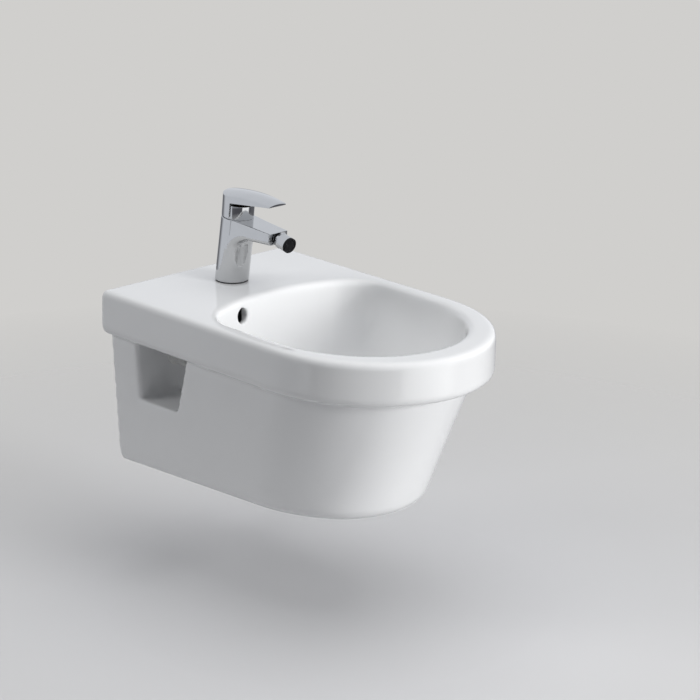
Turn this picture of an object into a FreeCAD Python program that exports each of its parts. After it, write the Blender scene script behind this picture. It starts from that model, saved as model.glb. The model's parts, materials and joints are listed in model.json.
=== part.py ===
import FreeCAD, Part
import math
import operator
import os
import types
import Sketcher
from FreeCAD import Placement, Rotation, Vector

# Row frame, in millimetres: the origin is midway between the two wall fixings, on the wall plane.
# The front faces -Y and +Z is up.

SIZES = [
    ("rim_top", 103, "rim top above the wall fixings"),
    ("rim_width", 370, "overall width"),
    ("rim_depth", 560, "projection from the wall"),
    ("rim_height", 70, "rim band, top to crease"),
    ("rim_front_length", 1.081, "rim front, length per half width"),
    ("rim_front_round", 0.93, "rim front, radius per half width"),
    ("rim_edge_radius", 9, "rounding of the rim's top edge"),
    ("lip_height", 16, "height of the rounded lower lip of the rim"),
    ("lip_side", 18, "overhang of the rim over the skirt at the sides"),
    ("lip_front", 32, "overhang of the rim over the skirt at the front"),
    ("skirt_front_length", 1.114, "skirt front under the rim, length per half width"),
    ("skirt_front_round", 0.91, "skirt front under the rim, radius per half width"),
    ("china_height", 275, "overall height of the china"),
    ("base_wall_draw", 15, "how far each side of the skirt draws in by the wall"),
    ("base_side_draw", 28, "how far each side of the skirt draws in where its sides end"),
    ("base_front_length", 1.252, "skirt front at its foot, length per half width"),
    ("base_front_draw", 72, "how far the front of the skirt draws in"),
    ("base_front_round", 0.892, "skirt front at its foot, radius per half width"),
    ("base_round_height", 24, "height of the bottom rounding"),
    ("base_round_wall", 9, "inset of the bottom rounding at the wall"),
    ("base_round_side", 17, "inset of the bottom rounding at the sides"),
    ("base_round_front", 30, "inset of the bottom rounding at the front"),
    ("china_wall", 9, "thickness of the china walls"),
    ("deck_thickness", 16, "thickness of the tap deck"),
    ("bowl_side_margin", 31, "rim beside the bowl"),
    ("bowl_front_margin", 46, "rim in front of the bowl"),
    ("deck_share", 0.2982, "tap deck behind the bowl, share of the projection"),
    ("bowl_front_round", 0.9156, "bowl front, radius per half width"),
    ("bowl_back_round", 2.013, "bowl back, radius per half width"),
    ("bowl_back_length", 0.539, "bowl back, length per half width"),
    ("bowl_front_length", 1.0974, "bowl front, length per half width"),
    ("bowl_lip_radius", 9, "rounding of the bowl's lip"),
    ("bowl_wall", 7.5, "thickness of the bowl"),
    ("bowl_depth", 150, "depth of the bowl"),
    ("bowl_side_inset", 0.617, "how far each side draws in at the bottom, share of half the width"),
    ("bowl_front_inset", 0.42, "how far the front draws in at the bottom, share of the bowl"),
    ("bowl_back_inset", 0.22, "how far the back draws in at the bottom, share of the bowl"),
    ("fixing_spacing", 180, "distance between the two wall fixings"),
    ("fixing_hole_radius", 11, "hole for the fixing sleeve"),
    ("pillar_gap", 124, "clear width between the fixing pillars"),
    ("pillar_height", 70, "pillars below the fixings"),
    ("recess_bottom", 162, "bottom of the side recess below the rim top"),
    ("recess_back", 58, "thickness of the fixing pillars, to the wall-side edge of the recess"),
    ("recess_front_top", 168, "front edge of the recess at its top"),
    ("recess_front_bottom", 136, "front edge of the recess at its bottom"),
    ("recess_corner_radius", 9, "rounding of the recess floor's front corner"),
    ("recess_edge_radius", 8, "rounding of the recess's wall-side edge"),
    ("recess_wall", 6, "thickness of the recess floor and front"),
    ("recess_clearance", 4, "recess floor from the overflow duct"),
    ("service_width", 160, "opening under the china, across"),
    ("service_front", 57, "opening under the china, in front of the drain"),
    ("drain_radius", 23, "drain hole in the china"),
    ("drain_seat_radius", 33, "seat round the drain hole"),
    ("drain_seat_depth", 4, "depth of the drain seat"),
    ("drain_neck_radius", 39, "boss under the drain"),
    ("drain_neck_length", 38, "boss bottom below the bowl"),
    ("overflow_across", 60, "overflow hole left of the middle"),
    ("overflow_drop", 24, "overflow hole below the rim top"),
    ("overflow_radius", 11.5, "overflow hole"),
    ("overflow_duct_setback", 15, "overflow duct behind the bowl's back"),
    ("overflow_duct_radius", 17, "outside of the overflow duct"),
    ("overflow_bore_radius", 10.5, "inside of the overflow duct"),
    ("tap_from_wall", 83, "tap hole from the wall"),
    ("tap_hole_radius", 17.5, "tap hole in the deck"),
    ("tap_radius", 25.6, "outside of the tap body"),
    ("head_from_wall", 96, "middle of the tap head from the wall"),
    ("head_height", 101.5, "tap head above the rim top"),
    ("head_lean", 4.5, "forward lean of the tap head, degrees"),
    ("gasket_thickness", 2, "gaskets of the tap"),
    ("spout_reach", 87, "spout end from the head axis"),
    ("spout_root_width", 46.4, "spout width at the head axis"),
    ("spout_root_height", 58, "spout height at the head axis"),
    ("spout_bend_reach", 23, "where the spout meets the front of the body"),
    ("spout_bend_width", 45, "spout width where it meets the front of the body"),
    ("spout_bend_height", 33, "spout height where it meets the front of the body"),
    ("spout_mid_reach", 40, "where the spout has become slim"),
    ("spout_mid_width", 41.5, "spout width where it has become slim"),
    ("spout_mid_height", 23.5, "spout height where it has become slim"),
    ("spout_end_width", 37, "spout width at its end"),
    ("spout_end_height", 18.5, "spout height at its end"),
    ("spout_corner_radius", 6, "rounding of the spout's lower corners"),
    ("spout_edge_radius", 1, "rounding of the spout's upper corners"),
    ("cartridge_radius", 17.5, "outside of the cartridge"),
    ("cartridge_depth", 45, "cartridge seat below the head plane"),
    ("cartridge_top", 4, "cartridge top below the head plane"),
    ("cartridge_wall", 1.3, "wall of the cartridge housing"),
    ("cartridge_lip", 2, "lip of the cartridge housing"),
    ("cartridge_mouth_radius", 12.5, "mouth of the cartridge housing"),
    ("port_radius", 2.6, "ports of base and fixed disc"),
    ("port_across", 6.5, "inlet ports from the middle"),
    ("port_back", 3, "inlet ports behind the axis"),
    ("outlet_front", 7.5, "outlet port in front of the axis"),
    ("chamber_radius", 8, "mixing chamber in the moving disc"),
    ("chamber_depth", 1.8, "mixing chamber in the moving disc"),
    ("cartridge_base_height", 6.5, "cartridge base"),
    ("disc_height", 3, "ceramic discs"),
    ("disc_radius", 11.3, "moving disc"),
    ("carrier_flange", 3, "flange of the disc carrier"),
    ("carrier_boss_height", 5, "boss of the disc carrier"),
    ("carrier_boss_width", 10, "boss of the disc carrier, across"),
    ("carrier_boss_length", 11, "boss of the disc carrier, front to back"),
    ("guide_length", 21, "guide slot in the rotor, front to back"),
    ("swing_length", 19, "spindle slot in the rotor, front to back"),
    ("overlap", 1, "how far cuts and joined pieces run past each other"),
    ("slide_gap", 0.1, "sliding gap of flat guides"),
    ("turn_gap", 0.3, "gap between turning curved faces"),
    ("pivot_drop", 14, "lever pivot below the head plane"),
    ("pin_radius", 1.5, "pivot pin"),
    ("pin_length", 26, "pivot pin"),
    ("pin_gap", 0.05, "running gap of the spindle on its pin"),
    ("spindle_width", 7, "square spindle"),
    ("spindle_top", 32, "spindle top above the head plane"),
    ("spindle_arm", 12, "spindle ball below the pivot"),
    ("spindle_ball_radius", 3, "spindle ball"),
    ("spindle_neck_radius", 2, "neck above the spindle ball"),
    ("nut_radius", 19, "thread of the cartridge nut"),
    ("nut_bore_radius", 14, "bore of the cartridge nut"),
    ("nut_hex_width", 35, "across the flats of the cartridge nut"),
    ("nut_hex_height", 5, "hexagon of the cartridge nut"),
    ("sleeve_radius", 23, "outside of the cover sleeve"),
    ("sleeve_wall", 1.7, "wall of the cover sleeve"),
    ("sleeve_height", 21, "front of the cover sleeve"),
    ("sleeve_back_height", 11, "back of the cover sleeve"),
    ("sleeve_cut", 4, "where the back of the cover sleeve drops, behind the axis"),
    ("lever_radius", 25.3, "round back of the lever"),
    ("lever_gap", 0.6, "gap between lever hood and cover sleeve"),
    ("lever_top", 44.4, "highest point of the lever above the head plane"),
    ("lever_apex", 48, "highest point of the lever in front of the head axis"),
    ("lever_arch_radius", 337, "arch of the lever's top from back to tip"),
    ("lever_sweep", 44, "angle over which the arch is cut, degrees"),
    ("lever_reach", 81, "lever tip from the head axis"),
    ("lever_tip_width", 33, "lever tip"),
    ("lever_crown_radius", 68, "crown of the lever's top"),
    ("lever_skirt_front", 5, "front edge of the lever's hood"),
    ("lever_under_root", 25.6, "lever underside at the hood, above the head plane"),
    ("lever_under_tip", 38.4, "lever underside at the tip, above the head plane"),
    ("lever_edge_radius", 1.6, "rounding of the lever's top edge"),
    ("lever_ceiling", 34, "inside of the hood above the head plane"),
    ("lever_swing_gap", 0.8, "gap between the swinging hood and the tap body"),
    ("hub_radius", 8, "lever hub"),
    ("screw_height", 23, "set screw above the head plane"),
    ("screw_radius", 2.5, "set screw"),
    ("screw_length", 4.4, "set screw"),
    ("plug_radius", 3.2, "index plug"),
    ("plug_length", 3, "index plug"),
    ("ball_from_wall", 178, "nozzle ball from the wall"),
    ("ball_height", 86, "nozzle ball above the rim top"),
    ("nozzle_drop", 12, "nozzle below level, degrees"),
    ("ball_radius", 6.2, "nozzle ball"),
    ("socket_radius", 7.9, "socket in the spout"),
    ("socket_depth", 8.3, "socket behind the ball's middle"),
    ("collar_front", 4, "collar in front of the ball's middle"),
    ("collar_thickness", 3.6, "collar"),
    ("barrel_start", 7.6, "barrel in front of the ball's middle"),
    ("barrel_end", 27, "barrel end in front of the ball's middle"),
    ("insert_flange", 4.5, "flange of the aerator in front of the barrel"),
    ("barrel_radius", 11.6, "nozzle barrel"),
    ("barrel_shoulder", 8.5, "rear of the barrel"),
    ("barrel_bore_radius", 9.8, "inside of the barrel"),
    ("nozzle_bore_radius", 2.4, "water bore of the ball"),
    ("nozzle_neck_radius", 3.8, "neck of the ball"),
    ("nozzle_flange", 2, "flange of the ball inside the barrel"),
    ("barrel_wall", 2.4, "rear wall of the barrel"),
    ("barrel_taper", 2, "length of the barrel's shoulder"),
    ("ridge_start", 12, "ridge on the barrel in front of the ball's middle"),
    ("ridge_width", 1.2, "ridge on the barrel"),
    ("ridge_height", 0.4, "ridge on the barrel"),
    ("nozzle_gasket", 1.5, "gasket in the barrel"),
    ("insert_recess", 0.8, "insert behind the barrel's end"),
    ("water_bore_radius", 4, "water channel in the spout"),
    ("inlet_radius", 4.5, "inlet threads"),
    ("inlet_spacing", 17, "distance between the inlets"),
    ("inlet_front", 4, "inlets in front of the tap's middle"),
    ("inlet_depth", 18, "length of the inlet threads"),
    ("feed_radius", 2.5, "channels from the inlets to the cartridge"),
    ("stud_radius", 4, "clamp stud"),
    ("stud_length", 70, "clamp stud below the tap"),
    ("stud_depth", 15, "clamp stud in the tap"),
    ("stud_back", 11, "clamp stud behind the tap's middle"),
    ("clamp_radius", 27, "horseshoe washer"),
    ("clamp_slot_width", 30, "slot of the horseshoe washer"),
    ("clamp_thickness", 3, "horseshoe plate"),
    ("clamp_nut_width", 13, "across the flats of the clamp nut"),
    ("clamp_nut_height", 14, "clamp nut"),
    ("waste_flange_radius", 31.5, "waste flange"),
    ("waste_flange", 2.5, "thickness of the waste flange"),
    ("waste_radius", 21.5, "waste thread"),
    ("waste_wall", 3, "wall of the waste"),
    ("waste_length", 66, "waste below the bowl"),
    ("waste_bar", 5, "cross bar of the waste"),
    ("waste_bar_drop", 46, "cross bar below the bowl"),
    ("seal_thickness", 1.5, "seal under the waste flange"),
    ("lower_seal", 5, "seal under the drain boss"),
    ("waste_nut_width", 58, "across the flats of the waste nut"),
    ("waste_nut_height", 8, "waste nut"),
    ("tail_insert", 6, "tail pipe inside the waste"),
    ("tail_radius", 16, "tail pipe"),
    ("tail_wall", 1.5, "wall of the tail pipe"),
    ("tail_length", 42, "tail pipe below the waste"),
    ("click_radius", 7, "click cartridge"),
    ("click_height", 32, "click cartridge"),
    ("stem_radius", 3, "plug stem"),
    ("stem_length", 30, "plug stem"),
    ("plug_stroke", 8, "travel of the plug"),
    ("plug_cap_radius", 29, "plug cap"),
    ("plug_cap_height", 5, "plug cap"),
    ("plug_seal_radius", 18, "seal of the plug"),
    ("plug_seal_height", 3, "seal of the plug"),
    ("fixing_sleeve_radius", 10.6, "fixing sleeve"),
    ("fixing_bore_radius", 6.5, "bore of the fixing sleeve"),
    ("fixing_flange_radius", 17, "flange of the fixing sleeve"),
    ("fixing_flange", 4, "flange of the fixing sleeve"),
    ("fixing_washer_radius", 12.2, "fixing washer"),
    ("fixing_washer", 2.5, "fixing washer"),
    ("fixing_nut_width", 19, "across the flats of the fixing nut"),
    ("fixing_nut_height", 10, "fixing nut"),
    ("fixing_cap_radius", 14.5, "fixing cap"),
    ("fixing_cap_length", 24, "fixing cap"),
    ("fixing_cap_wall", 2, "wall of the fixing cap"),
]


class Size:
    """A length or angle that keeps the cells it was worked out from."""

    def __init__(self, value, text):
        self.value = value
        self.text = text

    def __add__(self, other):
        return joined(self, "+", other)

    def __radd__(self, other):
        return joined(other, "+", self)

    def __sub__(self, other):
        return joined(self, "-", other)

    def __rsub__(self, other):
        return joined(other, "-", self)

    def __mul__(self, other):
        return joined(self, "*", other)

    def __rmul__(self, other):
        return joined(other, "*", self)

    def __truediv__(self, other):
        return joined(self, "/", other)

    def __neg__(self):
        return joined(0, "-", self)


WORKINGS = {"+": operator.add, "-": operator.sub, "*": operator.mul, "/": operator.truediv}


def as_size(number):
    """A Size, whether the number is one already or a plain number."""
    if isinstance(number, Size):
        return number
    return Size(float(number), repr(float(number)))


def joined(left, sign, right):
    """Two sizes joined by one of the four signs."""
    left = as_size(left)
    right = as_size(right)
    return Size(WORKINGS[sign](left.value, right.value), f"({left.text} {sign} {right.text})")


def sine(degrees):
    """The sine of an angle from the sheet."""
    return Size(math.sin(math.radians(degrees.value)), f"sin({degrees.text} * 1 deg)")


def cosine(degrees):
    """The cosine of an angle from the sheet."""
    return Size(math.cos(math.radians(degrees.value)), f"cos({degrees.text} * 1 deg)")


doc = FreeCAD.newDocument("WallHungBidet")
sheet = doc.addObject("Spreadsheet::Sheet", "Sizes")
for row, (alias, number, note) in enumerate(SIZES, start=1):
    sheet.set(f"A{row}", note)
    sheet.set(f"B{row}", str(number))
    sheet.setAlias(f"B{row}", alias)
doc.recompute()
size = types.SimpleNamespace(**{row[0]: Size(float(sheet.get(row[0])), f"Sizes.{row[0]}") for row in SIZES})


def bind(thing, path, number):
    """Bind one property to the sheet."""
    thing.setExpression(path, as_size(number).text)


def vector(x, y, z):
    """A vector of the present values of three sizes."""
    return Vector(as_size(x).value, as_size(y).value, as_size(z).value)


def place(thing, path, x=0, y=0, z=0, axis=None, degrees=None):
    """Set a placement and bind it to the sheet."""
    turn = Rotation()
    if axis is not None:
        turn = Rotation(axis, as_size(degrees).value)
    setattr(thing, path, Placement(vector(x, y, z), turn))
    for letter, number in (("x", x), ("y", y), ("z", z)):
        if isinstance(number, Size):
            bind(thing, f"{path}.Base.{letter}", number)
    if isinstance(degrees, Size):
        bind(thing, f"{path}.Rotation.Angle", degrees)


def new_body(name):
    """An empty body with the node's name."""
    body = doc.addObject("PartDesign::Body", name)
    body.Label = name
    return body


def origin_plane(body, role):
    """One of the body's own origin planes."""
    return [feature for feature in body.Origin.OriginFeatures if feature.Role == role][0]


def attach(body, thing, role, **offset):
    """Attach a sketch or primitive to an origin plane of its body."""
    thing.AttachmentSupport = (origin_plane(body, role), [""])
    thing.MapMode = "FlatFace"
    place(thing, "AttachmentOffset", **offset)


def new_sketch(body, name, role, **offset):
    """An empty sketch on an origin plane of the body."""
    sketch = body.newObject("Sketcher::SketchObject", name)
    attach(body, sketch, role, **offset)
    return sketch


def drive(sketch, kind, *parts, number):
    """A driving dimension bound to the sheet."""
    number = as_size(number)
    index = sketch.addConstraint(Sketcher.Constraint(kind, *parts, number.value))
    bind(sketch, f"Constraints[{index}]", number)


def pin(sketch, kind, axis, shape, end, number):
    """Hold one coordinate of a point."""
    number = as_size(number)
    if abs(number.value) < 1e-9:
        sketch.addConstraint(Sketcher.Constraint("PointOnObject", shape, end, axis))
    elif number.value < 0:
        drive(sketch, kind, shape, end, -1, 1, number=-number)
    else:
        drive(sketch, kind, -1, 1, shape, end, number=number)


def pin_point(sketch, shape, end, x, y):
    """Hold both coordinates of a point."""
    pin(sketch, "DistanceX", -2, shape, end, x)
    pin(sketch, "DistanceY", -1, shape, end, y)


def add_polygon(sketch, points):
    """A closed outline of straight lines in a sketch."""
    count = len(points)
    first = sketch.GeometryCount
    for number, start in enumerate(points):
        end = points[(number + 1) % count]
        sketch.addGeometry(Part.LineSegment(vector(start[0], start[1], 0), vector(end[0], end[1], 0)),
                           False)
    for number, start in enumerate(points):
        following = first + (number + 1) % count
        sketch.addConstraint(Sketcher.Constraint("Coincident", first + number, 2, following, 1))
    for number, start in enumerate(points):
        pin_point(sketch, first + number, 1, start[0], start[1])


def polygon(body, name, role, points, **offset):
    """A sketch that holds one outline of straight lines."""
    sketch = new_sketch(body, name, role, **offset)
    add_polygon(sketch, points)
    return sketch


def add_circle(sketch, x, y, radius):
    """A circle in a sketch."""
    index = sketch.addGeometry(Part.Circle(vector(x, y, 0), Vector(0, 0, 1), as_size(radius).value), False)
    pin_point(sketch, index, 3, x, y)
    drive(sketch, "Radius", index, number=radius)


def circle(body, name, role, radius, x=0, y=0, **offset):
    """A sketch that holds one circle."""
    sketch = new_sketch(body, name, role, **offset)
    add_circle(sketch, x, y, radius)
    return sketch


def rectangle(body, name, role, left, bottom, right, top, **offset):
    """A sketch that holds one rectangle."""
    return polygon(body, name, role, [(left, bottom), (right, bottom), (right, top), (left, top)], **offset)


def hexagon_points(across):
    """The corners of a hexagon from its width across the flats."""
    corner = across / math.sqrt(3)
    flat = across / 2
    return [(corner, 0), (corner / 2, flat), (-corner / 2, flat), (-corner, 0), (-corner / 2, -flat),
            (corner / 2, -flat)]


def arc(sketch, centre, start, end):
    """An arc from start to end, counter-clockwise about the centre."""
    first = math.atan2(start.y - centre.y, start.x - centre.x)
    last = math.atan2(end.y - centre.y, end.x - centre.x)
    while last < first:
        last += 2 * math.pi
    ring = Part.Circle(centre, Vector(0, 0, 1), start.distanceToPoint(centre))
    return sketch.addGeometry(Part.ArcOfCircle(ring, first, last), False)


def end_arcs(corner, along, tip, radius):
    """Centres and meeting point of the side arc and end arc that close one end of an outline."""
    sign = math.copysign(1, along.y)
    inward = Vector(-sign * along.y, sign * along.x, 0)
    end_centre = Vector(0, tip - math.copysign(radius, tip - corner.y), 0)
    reach = corner - end_centre
    side_radius = (radius ** 2 - reach.dot(reach)) / (2 * (reach.dot(inward) + radius))
    side_centre = corner + inward * side_radius
    meeting = side_centre + (end_centre - side_centre) * (side_radius / (side_radius - radius))
    return side_centre, end_centre, meeting


def mirrored(point):
    """A point on the other side of the middle."""
    return Vector(-point.x, point.y, 0)


def outline(body, name, back_width, back, width, straight, tip, radius, level, round_back=None):
    """A plan outline: sides, a front of three tangent arcs, and a straight or three-arc back."""
    sketch = new_sketch(body, name, "XY_Plane", z=level)
    rear = vector(back_width / 2, -as_size(back), 0)
    fore = vector(width / 2, -straight, 0)
    along = (fore - rear).normalize()
    side_centre, end_centre, meeting = end_arcs(fore, along, -tip.value, radius.value)
    right = sketch.addGeometry(Part.LineSegment(rear, fore), False)
    right_arc = arc(sketch, side_centre, meeting, fore)
    front_arc = arc(sketch, end_centre, mirrored(meeting), meeting)
    left_arc = arc(sketch, mirrored(side_centre), mirrored(fore), mirrored(meeting))
    left = sketch.addGeometry(Part.LineSegment(mirrored(fore), mirrored(rear)), False)
    tangents = [(right, 2, right_arc, 2), (right_arc, 1, front_arc, 2), (front_arc, 1, left_arc, 2),
                (left_arc, 1, left, 1)]
    if round_back is None:
        back_line = sketch.addGeometry(Part.LineSegment(mirrored(rear), rear), False)
        sketch.addConstraint(Sketcher.Constraint("Coincident", left, 2, back_line, 1))
        sketch.addConstraint(Sketcher.Constraint("Coincident", back_line, 2, right, 1))
    else:
        back_tip, back_radius = round_back
        side_centre, end_centre, meeting = end_arcs(rear, along * -1, -back_tip.value, back_radius.value)
        left_back = arc(sketch, mirrored(side_centre), mirrored(meeting), mirrored(rear))
        back_arc = arc(sketch, end_centre, meeting, mirrored(meeting))
        right_back = arc(sketch, side_centre, rear, meeting)
        tangents += [(left, 2, left_back, 2), (left_back, 1, back_arc, 2), (back_arc, 1, right_back, 2),
                     (right_back, 1, right, 1)]
    for one in tangents:
        sketch.addConstraint(Sketcher.Constraint("Tangent", *one))
    sketch.addConstraint(Sketcher.Constraint("Equal", right_arc, left_arc))
    sketch.addConstraint(Sketcher.Constraint("Symmetric", right, 1, left, 2, -2))
    sketch.addConstraint(Sketcher.Constraint("Symmetric", right, 2, left, 1, -2))
    drive(sketch, "DistanceX", left, 2, right, 1, number=back_width)
    drive(sketch, "DistanceX", left, 1, right, 2, number=width)
    pin(sketch, "DistanceY", -1, right, 1, -as_size(back))
    pin(sketch, "DistanceY", -1, right, 2, -straight)
    drive(sketch, "Radius", front_arc, number=radius)
    pin(sketch, "DistanceY", -1, front_arc, 3, radius - tip)
    if round_back is not None:
        sketch.addConstraint(Sketcher.Constraint("Equal", right_back, left_back))
        drive(sketch, "Radius", back_arc, number=back_radius)
        pin(sketch, "DistanceY", -1, back_arc, 3, -(back_tip + back_radius))
    return sketch


def feature(body, kind, name, sketch, **settings):
    """A feature made from a sketch, with its sizes bound to the sheet."""
    made = body.newObject(f"PartDesign::{kind}", name)
    made.Profile = sketch
    for key, number in settings.items():
        if isinstance(number, Size):
            setattr(made, key, number.value)
            bind(made, key, number)
        else:
            setattr(made, key, number)
    return made


def loft(body, kind, name, sketches, ruled=False):
    """A loft through sketches in order."""
    return feature(body, kind, name, sketches[0], Sections=sketches[1:], Ruled=ruled)


def turned(body, kind, name, sketch):
    """A full turn of a sketch about its upright axis."""
    return feature(body, kind, name, sketch, ReferenceAxis=(sketch, ["V_Axis"]), Angle=360.0)


def primitive(body, kind, name, role, x=0, y=0, z=0, axis=None, degrees=None, **settings):
    """A cylinder or sphere added to or cut from a body."""
    made = body.newObject(f"PartDesign::{kind}", name)
    attach(body, made, role, x=x, y=y, z=z, axis=axis, degrees=degrees)
    for key, number in settings.items():
        setattr(made, key, as_size(number).value)
        bind(made, key, number)
    return made


def mirror_feature(body, name, original):
    """The same feature on the other side of the middle plane."""
    made = body.newObject("PartDesign::Mirrored", name)
    made.Originals = [original]
    made.MirrorPlane = (origin_plane(body, "YZ_Plane"), [""])
    body.Tip = made
    return made


def rounded(body, name, base, radius, wanted):
    """Round the edges of a feature that pass a test."""
    doc.recompute()
    names = [f"Edge{number}" for number, edge in enumerate(base.Shape.Edges, start=1) if wanted(edge)]
    made = body.newObject("PartDesign::Fillet", name)
    made.Base = (base, names)
    made.Radius = radius.value
    bind(made, "Radius", radius)
    return made


def spun(name, points):
    """A body turned from one outline of radius and height."""
    body = new_body(name)
    turned(body, "Revolution", f"{name}_turn", polygon(body, f"{name}_profile", "XZ_Plane", points))
    return body


def ring(name, inner, outer, bottom, top):
    """A plain ring or tube."""
    return spun(name, [(inner, bottom), (outer, bottom), (outer, top), (inner, top)])


def pair(name, body):
    """The body and its mirror image as one node of two solids."""
    other = doc.addObject("Part::Mirroring", f"{name}_other")
    other.Source = body
    other.Normal = Vector(1, 0, 0)
    both = doc.addObject("Part::Compound", f"{name}_pair")
    both.Links = [body, other]
    both.Label = name
    return both


nodes = {}


def keep(name, thing):
    """Note the object that a node's file is written from."""
    nodes[name] = thing
    return thing


def quarter_steps(count):
    """Angles of a quarter turn, in even steps."""
    return [90 * number / (count - 1) for number in range(count)]


NEAR = 0.01


def lies_at(edge, level):
    """Whether an edge lies wholly at one height."""
    box = edge.BoundBox
    return abs(box.ZMin - level) < NEAR and abs(box.ZMax - level) < NEAR


def root(number):
    """The square root of a size."""
    return Size(math.sqrt(number.value), f"sqrt({number.text})")


def plan_sizes():
    """Heights and plan sizes that the two castings share."""
    top = size.rim_top
    crease = top - size.rim_height
    bottom = top - size.china_height
    skirt_width = size.rim_width - size.lip_side * 2
    skirt_tip = size.rim_depth - size.lip_front
    bowl_back = size.rim_depth * size.deck_share
    bowl_tip = size.rim_depth - size.bowl_front_margin
    bowl_length = bowl_tip - bowl_back
    drain = (bowl_back + bowl_tip + bowl_length * (size.bowl_back_inset - size.bowl_front_inset)) / 2
    return types.SimpleNamespace(
        top=top, crease=crease, bottom=bottom, round_top=bottom + size.base_round_height,
        skirt_width=skirt_width, skirt_tip=skirt_tip, base_wall_width=skirt_width - size.base_wall_draw * 2,
        base_width=skirt_width - size.base_side_draw * 2, base_depth=skirt_tip - size.base_front_draw,
        bowl_width=size.rim_width - size.bowl_side_margin * 2, bowl_back=bowl_back, bowl_tip=bowl_tip,
        bowl_length=bowl_length, drain=drain, drain_level=top - size.bowl_depth,
        duct_back=bowl_back - size.overflow_duct_setback,
        recess_inner=size.overflow_across + size.overflow_duct_radius + size.recess_clearance)


plan = plan_sizes()


def front_of(width, tip, length_share, round_share):
    """Where the sides of an outline end and how round its front is, from its width and its tip."""
    return tip - width / 2 * length_share, width / 2 * round_share


def recess_profile(body, floor, roof):
    """The side recess seen from the side: level floor, leaning front, rounded corner between them."""
    sketch = new_sketch(body, "recess_profile", "YZ_Plane", z=plan.recess_inner)
    radius = size.recess_corner_radius
    back_low = vector(-size.recess_back, floor, 0)
    corner = vector(-size.recess_front_bottom, floor, 0)
    front_high = vector(-size.recess_front_top, roof, 0)
    back_high = vector(-size.recess_back, roof, 0)
    uphill = (front_high - corner).normalize()
    tangent = radius.value * math.tan((math.pi - math.acos(uphill.x)) / 2)
    floor_end = corner + Vector(tangent, 0, 0)
    front_end = corner + uphill * tangent
    floor_line = sketch.addGeometry(Part.LineSegment(back_low, floor_end), False)
    bend = arc(sketch, floor_end + Vector(0, radius.value, 0), front_end, floor_end)
    front_line = sketch.addGeometry(Part.LineSegment(front_end, front_high), False)
    roof_line = sketch.addGeometry(Part.LineSegment(front_high, back_high), False)
    back_line = sketch.addGeometry(Part.LineSegment(back_high, back_low), False)
    sharp = sketch.addGeometry(Part.Point(corner), True)
    for one in ((floor_line, 2, bend, 2), (bend, 1, front_line, 1)):
        sketch.addConstraint(Sketcher.Constraint("Tangent", *one))
    for one in ((front_line, 2, roof_line, 1), (roof_line, 2, back_line, 1), (back_line, 2, floor_line, 1)):
        sketch.addConstraint(Sketcher.Constraint("Coincident", *one))
    sketch.addConstraint(Sketcher.Constraint("Horizontal", floor_line))
    sketch.addConstraint(Sketcher.Constraint("PointOnObject", sharp, 1, front_line))
    drive(sketch, "Radius", bend, number=radius)
    pin_point(sketch, floor_line, 1, -size.recess_back, floor)
    pin_point(sketch, sharp, 1, -size.recess_front_bottom, floor)
    pin_point(sketch, front_line, 2, -size.recess_front_top, roof)
    pin_point(sketch, roof_line, 2, -size.recess_back, roof)
    return sketch


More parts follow.
